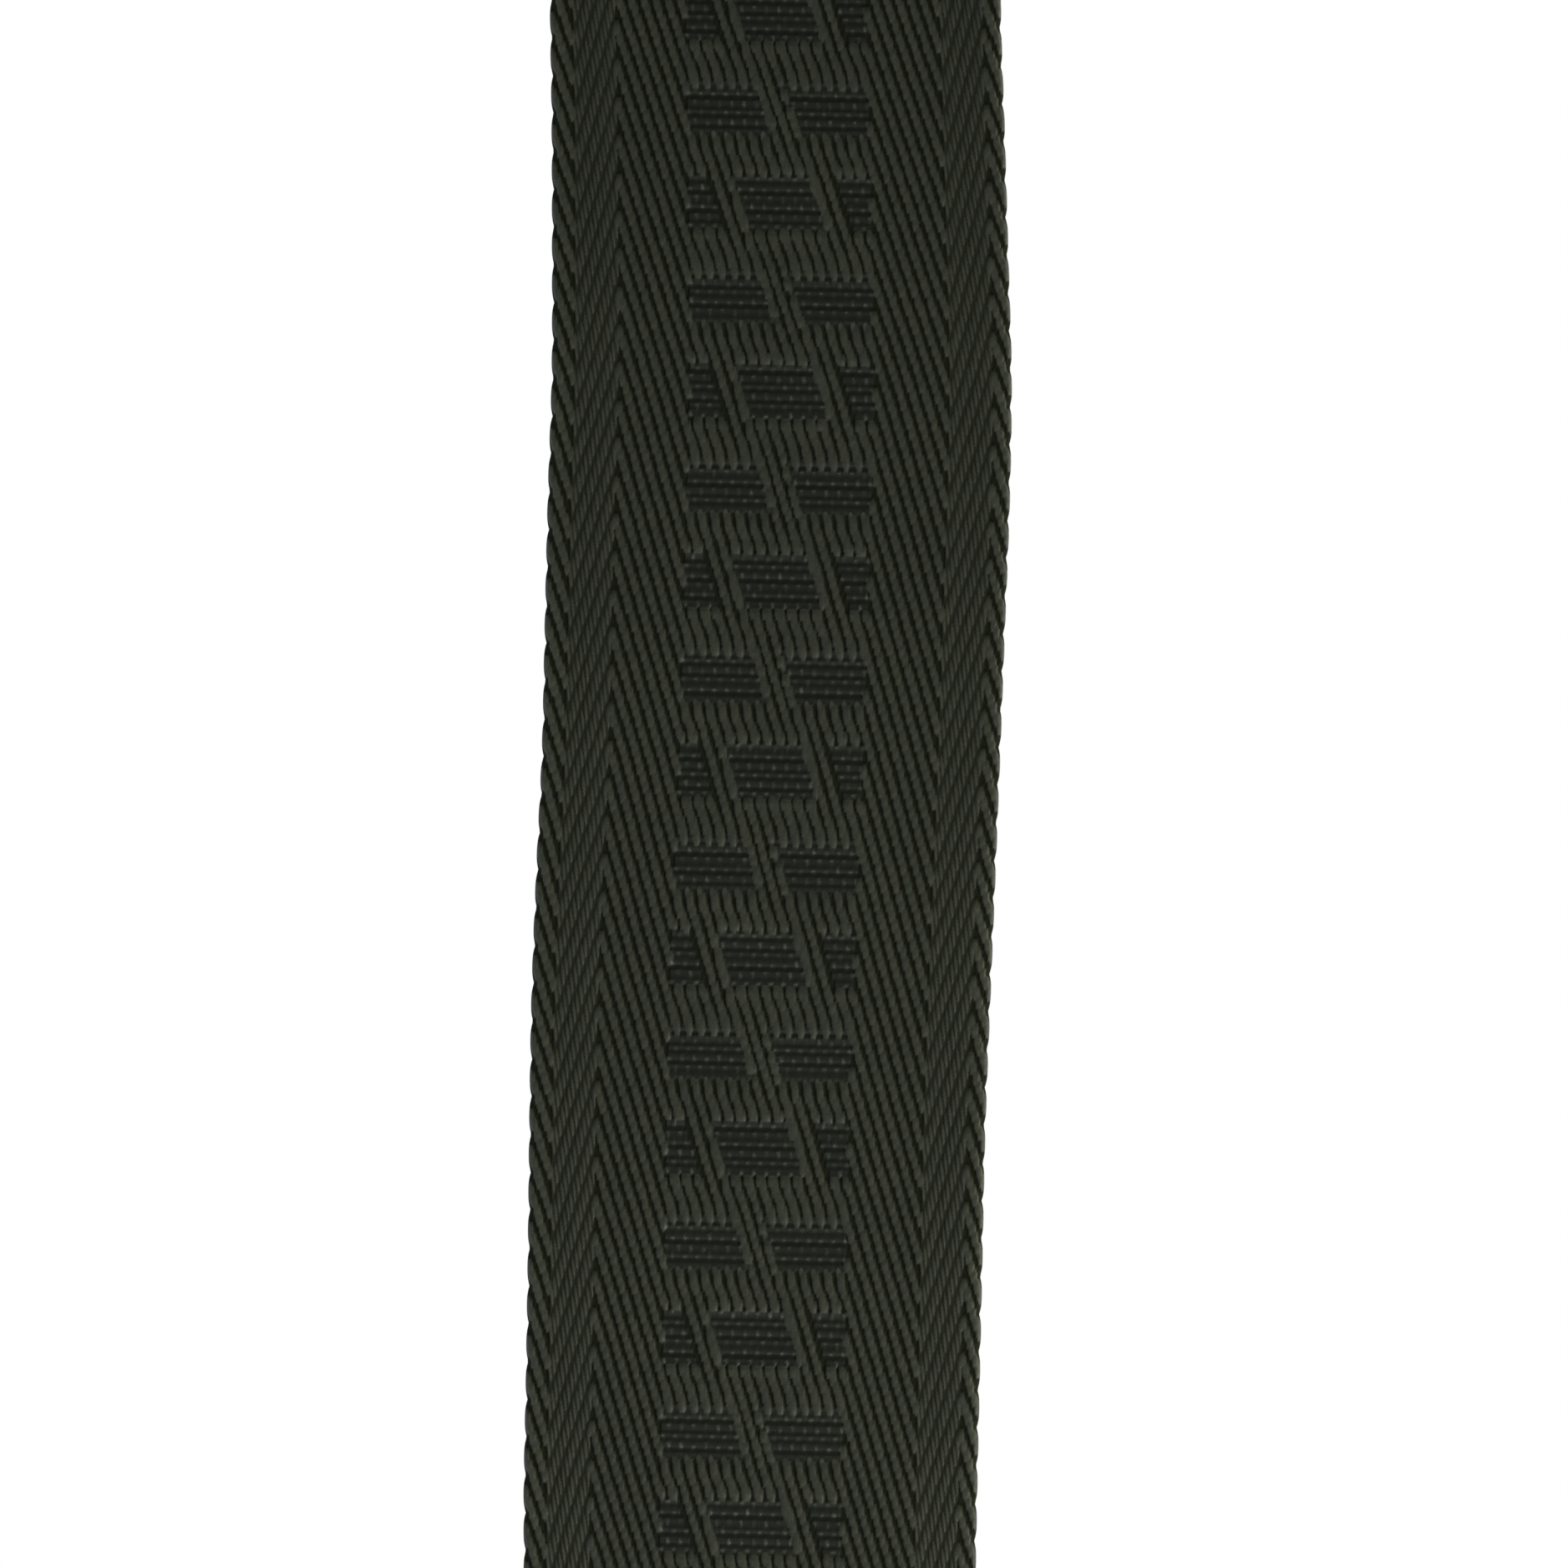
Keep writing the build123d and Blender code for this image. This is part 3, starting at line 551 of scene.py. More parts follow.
def webbing_material():
    m, nt, b = material("webbing_olive")
    h, fig, yarn = attr(nt, "hgt"), attr(nt, "fig"), attr(nt, "yarn")
    lat, arc_s = attr(nt, "lat"), attr(nt, "arc")
    # yarn direction: the ribs lean, so the filaments are drawn along them
    skew = calc(nt, "MULTIPLY_ADD", arc_s, -0.30, lat)
    fil = noise(nt, joined(nt, calc(nt, "MULTIPLY", skew, 9.0), calc(nt, "MULTIPLY", arc_s, 0.9)), 1.0, 3.0, 0.6)
    fuzz = noise(nt, joined(nt, calc(nt, "MULTIPLY", lat, 3.2), calc(nt, "MULTIPLY", arc_s, 3.2), 4.0), 1.0, 3.0, 0.6)
    blot = noise(nt, joined(nt, calc(nt, "MULTIPLY", lat, 0.10), calc(nt, "MULTIPLY", arc_s, 0.05), 9.0), 1.0, 2.0, 0.5)
    rib = mix(nt, ramp(nt, yarn, 0.25, 0.75), srgb(*RIB_COOL), srgb(*RIB_WARM))
    rib = mix(nt, ramp(nt, fil, 0.35, 0.72), rib, mix(nt, 1.0, rib, (1.32, 1.32, 1.30, 1), "MULTIPLY"))
    # painted shade: the colour runs from the rib colour on the float crowns down to near-black at the ground, standing
    # in for the shade in the grooves between the floats
    floor = srgb(*GROOVE_PAINTED_SHADE)
    col = mix(nt, ramp(nt, h, 0.05, 0.27), floor, rib)
    # painted shade: the weft cords turn near-black where they dip between the picks
    weft = mix(nt, ramp(nt, h, 0.09, 0.17), srgb(*WEFT_LOW_PAINTED_SHADE), srgb(*WEFT_TOP))
    # painted highlight: the crowns of the weft dots are brightened, by a random amount per float, standing in for the
    # glints the light makes on them
    glint = mix(nt, 1.0, srgb(*DOT_PAINTED_GLINT), ramp(nt, yarn, 0.0, 1.0, 0.62, 1.45, "LINEAR"), "MULTIPLY")
    weft = mix(nt, ramp(nt, h, 0.175, 0.215), weft, glint)
    col = mix(nt, fig, col, weft)
    shade = calc(nt, "ADD", ramp(nt, fuzz, 0.3, 0.7, -0.17, 0.17, "LINEAR"), ramp(nt, blot, 0.3, 0.7, 0.93, 1.07, "LINEAR"))
    # painted light: the short floats outside the ribs and the selvedge, which lie flatter, are painted a little paler
    # to stand in for the extra light they catch
    side = calc(nt, "ABSOLUTE", calc(nt, "SUBTRACT", lat, WEB_W / 2))
    shade = calc(nt, "MULTIPLY", shade, ramp(nt, side, 16.8, 18.4, 1.0, 1.09))
    shade = calc(nt, "MULTIPLY", shade, ramp(nt, side, 22.3, 24.3, 1.0, 1.12))
    col = mix(nt, 1.0, col, joined(nt, shade, shade, shade), "MULTIPLY")
    put(nt, b.inputs["Base Color"], col)
    # filament yarn: the short weft floats catch the light, the ground between the ribs doesn't
    rough = calc(nt, "ADD", ramp(nt, fil, 0.3, 0.7, 0.60, 0.44, "LINEAR"), ramp(nt, h, 0.04, 0.20, 0.35, 0.0))
    rough = calc(nt, "SUBTRACT", rough, calc(nt, "MULTIPLY", fig, ramp(nt, h, 0.12, 0.20, 0.0, 0.20)))
    put(nt, b.inputs["Roughness"], rough)
    b.inputs["Specular IOR Level"].default_value = 0.185
    b.inputs["Sheen Weight"].default_value = 0.01
    b.inputs["Sheen Roughness"].default_value = 0.4
    b.inputs["Sheen Tint"].default_value = (0.75, 0.85, 0.70, 1)
    grain = calc(nt, "ADD", calc(nt, "MULTIPLY", fil, 1.0), calc(nt, "MULTIPLY", fuzz, 0.5))
    put(nt, b.inputs["Normal"], bump(nt, grain, 0.55, 0.00006))
    return m


# measured from the cloth: sRGB
RIB_COOL, RIB_WARM = (40, 43, 34), (44, 46, 36)
# the groove colour is painted shade for the grooves between the floats, not a yarn colour
GROOVE_PAINTED_SHADE = (12, 15, 1)
# the low weft colour is painted shade between the weft cords; the dot colour is a painted highlight on the weft dots
WEFT_LOW_PAINTED_SHADE, WEFT_TOP, DOT_PAINTED_GLINT = (10, 13, 3), (28, 31, 23), (51, 54, 45)


def leather_material():
    m, nt, b = material("leather_dark_brown")
    co = position(nt)
    edge, groove, bend = attr(nt, "edge"), attr(nt, "groove"), attr(nt, "flexed")
    vo = nt.nodes.new("ShaderNodeTexVoronoi")
    vo.feature = "DISTANCE_TO_EDGE"
    put(nt, vo.inputs["Vector"], co)
    vo.inputs["Scale"].default_value = 1150.0
    vo.inputs["Randomness"].default_value = 1.0
    cell = ramp(nt, vo.outputs["Distance"], 0.0, 0.16)
    fine = noise(nt, co, 2600.0, 3.0, 0.6)
    mid = noise(nt, co, 260.0, 4.0, 0.6, 0.4)
    big = noise(nt, co, 38.0, 3.0, 0.55)
    base = mix(nt, ramp(nt, big, 0.3, 0.7), srgb(52, 35, 25), srgb(70, 48, 34))
    base = mix(nt, ramp(nt, mid, 0.35, 0.75, 0.0, 0.55), base, srgb(84, 60, 43))
    base = mix(nt, ramp(nt, cell, 0.0, 1.0, 0.45, 0.0, "LINEAR"), base, srgb(24, 15, 11))
    # burnished rim, darker seam, paler where it has flexed and where it is handled
    worn = calc(nt, "MULTIPLY", ramp(nt, edge, 0.30, 0.75), ramp(nt, edge, 0.75, 2.2, 1.0, 0.0))
    worn = calc(nt, "MULTIPLY", worn, ramp(nt, mid, 0.40, 0.62))
    base = mix(nt, calc(nt, "MULTIPLY", worn, 0.55), base, srgb(118, 84, 58))
    base = mix(nt, ramp(nt, edge, 0.05, 0.42, 0.85, 0.0), base, srgb(21, 13, 10))
    base = mix(nt, calc(nt, "MULTIPLY", groove, 0.45), base, srgb(22, 14, 10))
    base = mix(nt, calc(nt, "MULTIPLY", bend, calc(nt, "MULTIPLY", ramp(nt, mid, 0.4, 0.65), 0.35)), base, srgb(104, 75, 52))
    put(nt, b.inputs["Base Color"], base)
    rough = calc(nt, "ADD", ramp(nt, mid, 0.3, 0.7, 0.40, 0.56, "LINEAR"), ramp(nt, edge, 0.0, 0.6, -0.10, 0.0))
    put(nt, b.inputs["Roughness"], rough)
    b.inputs["Specular IOR Level"].default_value = 0.45
    b.inputs["Coat Weight"].default_value = 0.08
    b.inputs["Coat Roughness"].default_value = 0.35
    hgt = calc(nt, "ADD", calc(nt, "MULTIPLY", cell, 1.0), calc(nt, "MULTIPLY", fine, 0.35))
    hgt = calc(nt, "ADD", hgt, calc(nt, "MULTIPLY", mid, 1.2))
    put(nt, b.inputs["Normal"], bump(nt, hgt, 0.75, 0.00009))
    return m


def thread_material(name, c0, c1):
    m, nt, b = material(name)
    along, turn = attr(nt, "along"), attr(nt, "turn")
    # two plies laid round each other; painted shade darkens the hollows between them and painted light brightens their
    # crowns
    ply = calc(nt, "SINE", calc(nt, "ADD", calc(nt, "MULTIPLY", along, 5.2), calc(nt, "MULTIPLY", turn, 2.0)))
    hair = noise(nt, position(nt), 9000.0, 2.0, 0.6)
    col = mix(nt, ramp(nt, ply, -0.9, 0.5), srgb(*c0), srgb(*c1))
    col = mix(nt, ramp(nt, hair, 0.35, 0.65, 0.0, 0.30), col, mix(nt, 1.0, col, (1.4, 1.4, 1.35, 1), "MULTIPLY"))
    put(nt, b.inputs["Base Color"], col)
    put(nt, b.inputs["Roughness"], ramp(nt, hair, 0.3, 0.7, 0.42, 0.62, "LINEAR"))
    b.inputs["Sheen Weight"].default_value = 0.15
    b.inputs["Sheen Roughness"].default_value = 0.4
    put(nt, b.inputs["Normal"], bump(nt, calc(nt, "ADD", ply, calc(nt, "MULTIPLY", hair, 0.5)), 0.7, 0.00006))
    return m


def metal_material(name, dark, worn, rough, wear_at, metallic=1.0):
    m, nt, b = material(name)
    co = position(nt)
    rim = attr(nt, "wear")
    fine = noise(nt, co, 1800.0, 4.0, 0.6)
    mid = noise(nt, co, 220.0, 4.0, 0.6, 0.6)
    soft = noise(nt, co, 60.0, 3.0, 0.5)
    mask = calc(nt, "ADD", rim, calc(nt, "MULTIPLY", calc(nt, "SUBTRACT", mid, 0.5), 1.1))
    mask = ramp(nt, mask, wear_at, wear_at + 0.22)
    col = mix(nt, ramp(nt, soft, 0.3, 0.7), srgb(*dark), srgb(*[int(v * 1.18) for v in dark]))
    col = mix(nt, mask, col, srgb(*worn))
    put(nt, b.inputs["Base Color"], col)
    b.inputs["Metallic"].default_value = metallic
    r = calc(nt, "ADD", ramp(nt, fine, 0.3, 0.7, rough - 0.05, rough + 0.08, "LINEAR"), ramp(nt, mid, 0.3, 0.7, -0.03, 0.07, "LINEAR"))
    put(nt, b.inputs["Roughness"], calc(nt, "SUBTRACT", r, calc(nt, "MULTIPLY", mask, 0.08)))
    h = calc(nt, "ADD", calc(nt, "MULTIPLY", fine, 0.4), calc(nt, "MULTIPLY", mid, 1.0))
    put(nt, b.inputs["Normal"], bump(nt, h, 0.35, 0.00004))
    return m


WEB = webbing_material()
LEATHER = leather_material()
# each thread's first colour is painted shade for the hollows between its plies, its second a painted highlight for the
# ply crowns
THREAD = thread_material("thread_olive", (58, 54, 38), (122, 116, 88))
THREAD_DARK = thread_material("thread_dark", (22, 23, 18), (66, 68, 56))
BLACK = metal_material("black_plated_steel", (46, 46, 48), (150, 146, 140), 0.30, 0.78)
RIVET = metal_material("antique_nickel", (150, 144, 134), (214, 208, 196), 0.27, 0.70)


def dress(ob, mat):
    ob.data.materials.clear()
    ob.data.materials.append(mat)
    return ob


# ------------------------------------------------------------------ the band's stretches
def s_of_run(z):
    """Arc length of a height on the main run."""
    return BAND_TOP - z


S_TURN = BAND_TOP - RING_Z
S_BACK = S_TURN + math.pi * TURN_R            # foot of the return run's straight part
def s_of_return(z):
    return S_BACK + (z - RING_Z)


FINE = (490, 80, 0.40)
PLAIN = (170, 84, 0.70)
CLOSE = (300, 110, 0.46)
REAR = (260, 90, 0.52)

STRETCHES = [
    # name, from, to, grid, body or (body, body), nodes, how it is held
    ("webbing_in_front_tab", 0.0, s_of_run(-88.0), PLAIN, "strap", ["main_webbing"], "hung"),
    ("webbing_face_1", s_of_run(-88.0), s_of_run(-157.0), FINE, "strap", ["main_webbing"], "hung"),
    ("webbing_face_2", s_of_run(-157.0), s_of_run(-226.0), FINE, "strap", ["main_webbing"], "hung"),
    ("webbing_face_3", s_of_run(-226.0), s_of_run(-295.0), FINE, "strap", ["main_webbing"], "hung"),
    ("webbing_behind_slide", s_of_run(-295.0), s_of_run(-340.0), PLAIN, "strap", ["main_webbing"], "hung"),
]
low = -340.0
n_low = 6
step_low = (LEG_Z - low) / n_low
for i in range(n_low):
    nodes_here = ["main_webbing"] if low + i * step_low > -755.0 + 1 else []
    if low + (i + 1) * step_low < -755.0:
        nodes_here.append("adjuster_run")
    STRETCHES.append((f"webbing_lower_{i + 1}", s_of_run(low + i * step_low), s_of_run(low + (i + 1) * step_low), PLAIN,
                      ("strap", "adjuster_turn"), nodes_here, "hung"))
STRETCHES.append(("webbing_turn", s_of_run(LEG_Z), s_of_return(LEG_Z), CLOSE, "adjuster_turn", ["ring_fold"], "folded"))
n_back = 5
step_back = (FOLD_FOOT - LEG_Z) / n_back
for i in range(n_back):
    STRETCHES.append((f"webbing_return_{i + 1}", s_of_return(LEG_Z + i * step_back), s_of_return(LEG_Z + (i + 1) * step_back),
                      PLAIN, ("adjuster_turn", "slide"), ["return_run"], "hung"))
STRETCHES.append(("webbing_sewn_end", s_of_return(FOLD_FOOT), band_path.length, CLOSE, "slide", ["webbing_end_fold"], "folded"))

pieces = {}
for name, s0, s1, (nf, nb, ds), body, stands_for, held in STRETCHES:
    ob = dress(band(name, band_path, s0, s1, nf, nb, ds, FIG), WEB)
    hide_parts(*stands_for)
    if isinstance(body, str):
        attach(ob, body)
    elif body[0] == "strap":
        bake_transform(ob)
    else:
        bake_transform(ob)
    pieces[name] = ob

# the short band that is doubled over the ring's lower bar
R_HALF = WEB_T
r_neck = LOW_Z - 13.0
r_foot = mm(loop_lo.z)
side = R_HALF - WEB_T / 2
rear_path = Path(
    line((RING_Y + side, r_foot + 0.5), (RING_Y + side, r_neck), 1.0)
    + scurve((RING_Y + side, r_neck), (RING_Y + TURN_R, LOW_Z - 0.2))
    + arc(RING_Y, LOW_Z, TURN_R, 0, 180)
    + scurve((RING_Y - TURN_R, LOW_Z - 0.2), (RING_Y - side, r_neck))
    + line((RING_Y - side, r_neck), (RING_Y - side, r_foot + 0.5), 1.0)
)
ob = dress(band("rear_webbing", rear_path, 0.0, rear_path.length, *REAR, FIG, seed=2, lie=False, pick0=11 * PICK), WEB)
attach(ob, "rear_end")
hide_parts("rear_webbing_loop")

# ------------------------------------------------------------------ leather tabs
TAB_W, TAB_LEN, TIP_R, HOLE_U = 53.0, 95.0, 17.0, 75.0
TIP_U, SHOULDER_U, BEND_U0 = TAB_LEN - TIP_R, 40.0, 41.0
LEATHER_T = 2.0
HOLE_R, SLIT_W, SLIT_LEN, SLIT_END = 4.25, 1.2, 11.0, 1.0
RIVET_X, RIVET_U, POST_R, CAP_R = 16.0, 33.0, 1.6, 4.5
EDGE_INSET, THREAD_W = 3.2, 0.8
BOX_W, BOX_U0, BOX_U1 = 36.0, 4.5, 25.5


def corner(p, v, q, r, n=10):
    """Rounds the corner at v between p and q."""
    p, v, q = (np.array(a, float) for a in (p, v, q))
    a, b = p - v, q - v
    a, b = a / np.linalg.norm(a), b / np.linalg.norm(b)
    half = math.acos(np.clip(a @ b, -1, 1)) / 2
    d = r / math.tan(half)
    c = v + (a + b) / np.linalg.norm(a + b) * r / math.sin(half)
    s, e = v + a * d - c, v + b * d - c
    a0, a1 = math.atan2(s[1], s[0]), math.atan2(e[1], e[0])
    while a1 - a0 > math.pi:
        a1 -= 2 * math.pi
    while a1 - a0 < -math.pi:
        a1 += 2 * math.pi
    return [(c[0] + r * math.cos(t), c[1] + r * math.sin(t)) for t in np.linspace(a0, a1, n)]


def outline(inset, foot_r=3.0, shoulder_r=30.0):
    """Outline of the tab, closed, running up the right side and down the left."""
    w, r, u0 = TAB_W / 2 - inset, TIP_R - inset, inset
    d = math.hypot(w, TIP_U - SHOULDER_U)
    a, h = r * r / d, r * math.sqrt(d * d - r * r) / d
    ux, uy = w / d, (SHOULDER_U - TIP_U) / d
    tan = (ux * a - uy * h, TIP_U + uy * a + ux * h)
    right = corner((0, u0), (w, u0), (w, SHOULDER_U), max(foot_r - inset, 0.6))
    right += corner((w, u0), (w, SHOULDER_U), tan, shoulder_r, 16)
    t0 = math.atan2(tan[1] - TIP_U, tan[0])
    right += [(r * math.cos(t), TIP_U + r * math.sin(t)) for t in np.linspace(t0, math.pi / 2, 24)]
    left = [(-x, u) for x, u in right[::-1][1:]]
    return np.array(right + left)


def even(poly, step, closed=True):
    """Points a step apart along a polyline."""
    p = np.vstack([poly, poly[:1]]) if closed else np.asarray(poly)
    d = np.linalg.norm(np.diff(p, axis=0), axis=1)
    s = np.concatenate([[0], np.cumsum(d)])
    n = max(3, int(round(s[-1] / step)))
    t = np.linspace(0, s[-1], n + 1)
    q = np.stack([np.interp(t, s, p[:, 0]), np.interp(t, s, p[:, 1])], -1)
    return q[:-1] if closed else q


def keyhole(grow=0.0):
    """Button hole with its slit, as one closed loop."""
    r, w, e = HOLE_R + grow, SLIT_W / 2 + grow * 0.8, SLIT_END + grow
    ce = HOLE_U - HOLE_R - SLIT_LEN
    a = math.asin(w / r)
    b = math.asin(min(w / e, 0.95))
    pts = [(r * math.sin(t), HOLE_U - r * math.cos(t)) for t in np.linspace(a, 2 * math.pi - a, 44)]
    low = [(-e * math.sin(t), ce + e * math.cos(t)) for t in np.linspace(b, 2 * math.pi - b, 18)]
    return np.array(pts + low)


def circle(cx, cy, r, n=28):
    t = np.linspace(0, 2 * math.pi, n, endpoint=False)
    return np.stack([cx + r * np.cos(t), cy + r * np.sin(t)], -1)


def seg_dist(p, a, b):
    """Distance of many points from one segment, and where along it."""
    ab = b - a
    t = np.clip(((p - a) @ ab) / max(ab @ ab, 1e-12), 0, 1)
    return np.linalg.norm(p - (a + t[:, None] * ab), axis=1)


def poly_dist(p, poly, closed=True):
    d = np.full(len(p), 1e9)
    n = len(poly)
    for i in range(n if closed else n - 1):
        d = np.minimum(d, seg_dist(p, poly[i], poly[(i + 1) % n]))
    return d


def within(p, poly):
    """Which points are inside a closed polygon."""
    x, y = p[:, 0], p[:, 1]
    ins = np.zeros(len(p), bool)
    j = len(poly) - 1
    for i in range(len(poly)):
        xi, yi, xj, yj = *poly[i], *poly[j]
        cut = ((yi > y) != (yj > y)) & (x < (xj - xi) * (y - yi) / (yj - yi + 1e-15) + xi)
        ins ^= cut
        j = i
    return ins


BOX_LINES = [((-BOX_W / 2, BOX_U0), (BOX_W / 2, BOX_U0)), ((BOX_W / 2, BOX_U0), (BOX_W / 2, BOX_U1)),
             ((BOX_W / 2, BOX_U1), (-BOX_W / 2, BOX_U1)), ((-BOX_W / 2, BOX_U1), (-BOX_W / 2, BOX_U0)),
             ((-BOX_W / 2, BOX_U0), (BOX_W / 2, BOX_U1)), ((-BOX_W / 2, BOX_U1), (BOX_W / 2, BOX_U0))]
SEAM = outline(EDGE_INSET + THREAD_W / 2, foot_r=4.5)


def tab_net():
    """Triangles of the tab's plan, with rows of points along its edges, its seams and its holes."""
    rim = even(outline(0), 0.9)
    key = even(keyhole(), 0.55)
    holes = [circle(sx * RIVET_X, RIVET_U, POST_R, 20) for sx in (-1, 1)]
    loops = [rim, key] + holes
    pts = [*loops]
    edges, at = [], 0
    for lp in loops:
        n = len(lp)
        edges += [(at + i, at + (i + 1) % n) for i in range(n)]
        at += n
    n_rim = at
    for d in (0.16, 0.38, 0.65, 1.1, 1.8):
        pts.append(even(outline(d), 0.9))
    for d in (0.16, 0.38, 0.65, 1.1):
        pts.append(even(keyhole(d), 0.6))
    for off in (-1.1, -0.55, 0.0, 0.55, 1.1):
        pts.append(even(outline(EDGE_INSET + THREAD_W / 2 + off, foot_r=4.5), 0.75))
    box = np.array([(-BOX_W / 2, BOX_U0), (BOX_W / 2, BOX_U0), (BOX_W / 2, BOX_U1), (-BOX_W / 2, BOX_U1)])
    for off in (-1.0, -0.5, 0.0, 0.5, 1.0):
        s = np.sign(box - [0, (BOX_U0 + BOX_U1) / 2])
        pts.append(even(box + s * off, 0.75))
    for a, b in BOX_LINES[4:]:
        a, b = np.array(a), np.array(b)
        n = np.array([-(b - a)[1], (b - a)[0]]) / np.linalg.norm(b - a)
        for off in (-1.0, -0.5, 0.0, 0.5, 1.0):
            pts.append(even(np.array([a + n * off, b + n * off]), 0.75, closed=False)[2:-2])
    for sx in (-1, 1):
        for r in (2.4, 3.4, CAP_R - 0.3, CAP_R + 0.3, CAP_R + 0.9):
            pts.append(circle(sx * RIVET_X, RIVET_U, r, int(r * 8)))
    fixed = np.vstack(pts)
    # the field between
    rng = np.random.default_rng(11)
    gx, gu = np.meshgrid(np.arange(-TAB_W / 2, TAB_W / 2, 1.35), np.arange(0.5, TAB_LEN, 1.35))
    g = np.stack([gx.ravel(), gu.ravel()], -1) + rng.uniform(-0.3, 0.3, (gx.size, 2))
    g = g[within(g, outline(1.9))]
    g = g[~within(g, keyhole(1.4))]
    from mathutils.kdtree import KDTree
    tree = KDTree(len(fixed))
    for i, p in enumerate(fixed):
        tree.insert((p[0], p[1], 0), i)
    tree.balance()
    g = np.array([p for p in g if tree.find((p[0], p[1], 0))[2] > 0.65])
    # thin out points that nearly meet, keeping the boundaries whole
    keep, seen = [], {}
    for i, p in enumerate(np.vstack([fixed, g])):
        c = (int(math.floor(p[0] / 0.22)), int(math.floor(p[1] / 0.22)))
        near = any(np.hypot(*(q - p)) < 0.22 for dx in (-1, 0, 1) for dy in (-1, 0, 1) for q in seen.get((c[0] + dx, c[1] + dy), []))
        if i >= n_rim and near:
            continue
        seen.setdefault(c, []).append(p)
        keep.append(p)
    keep = np.array(keep)
    vs, _, fs, orig_v, _, _ = delaunay_2d_cdt([Vector(p) for p in keep], edges, [], 1, 1e-5)
    V = np.array([tuple(v) for v in vs])
    T = np.array([f for f in fs if len(f) == 3])
    mid = V[T].mean(axis=1)
    ok = within(mid, rim)
    for lp in loops[1:]:
        ok &= ~within(mid, lp)
    T = T[ok]
    where = {}
    for new, olds in enumerate(orig_v):
        for o in olds:
            where[o] = new
    bounds_, at = [], 0
    for lp in loops:
        bounds_.append([where[at + i] for i in range(len(lp))])
        at += len(lp)
    used = np.unique(T)
    remap = np.full(len(V), -1)
    remap[used] = np.arange(len(used))
    bounds_ = [[int(remap[i]) for i in b] for b in bounds_]
    return V[used], remap[T], bounds_, loops


NET_V, NET_T, NET_LOOPS, NET_RIMS = tab_net()
D_RIM = np.minimum.reduce([poly_dist(NET_V, lp) for lp in NET_RIMS])
D_OUT = np.minimum(poly_dist(NET_V, NET_RIMS[0]), poly_dist(NET_V, NET_RIMS[1]))
D_SEAM = poly_dist(NET_V, SEAM)
D_BOX = np.minimum.reduce([seg_dist(NET_V, np.array(a, float), np.array(b, float)) for a, b in BOX_LINES])
D_RIVET = np.minimum.reduce([np.abs(np.linalg.norm(NET_V - [sx * RIVET_X, RIVET_U], axis=1)) for sx in (-1, 1)])


def close_up(u, gap, bend_u1):
    """Distance of a layer's inner face from the middle of the tab."""
    return gap * (1 - smooth(BEND_U0 - 0.5, bend_u1 + 0.5, np.asarray(u, float)))


def hollow(x, u):
    """Slow unevenness of real hide, mm."""
    return 0.10 * np.sin(x * 0.21 + 1.3) * np.sin(u * 0.17 + 0.4) + 0.05 * np.sin(x * 0.47 - u * 0.31)


def skin(x, u, d_rim, d_seam, d_box, d_rivet):
    """Thickness of a layer, mm: rounded rim, pulled down at the seams and round the rivets."""
    r = 0.62
    t = np.clip(d_rim / r, 0, 1)
    h = LEATHER_T - r * (1 - np.sqrt(np.clip(1 - (1 - t) ** 2, 0, 1)))
    pull = 0.26 * np.exp(-(d_seam / 0.62) ** 2) + 0.10 * np.exp(-(d_seam / 2.2) ** 2)
    box = 0.24 * np.exp(-(d_box / 0.60) ** 2) + 0.09 * np.exp(-(d_box / 2.4) ** 2)
    cap = 0.16 * np.exp(-(np.clip(d_rivet - CAP_R, 0, None) / 1.1) ** 2)
    return h - np.maximum(np.maximum(pull, box), cap) + hollow(x, u) * smooth(0.3, 3.0, d_rim)


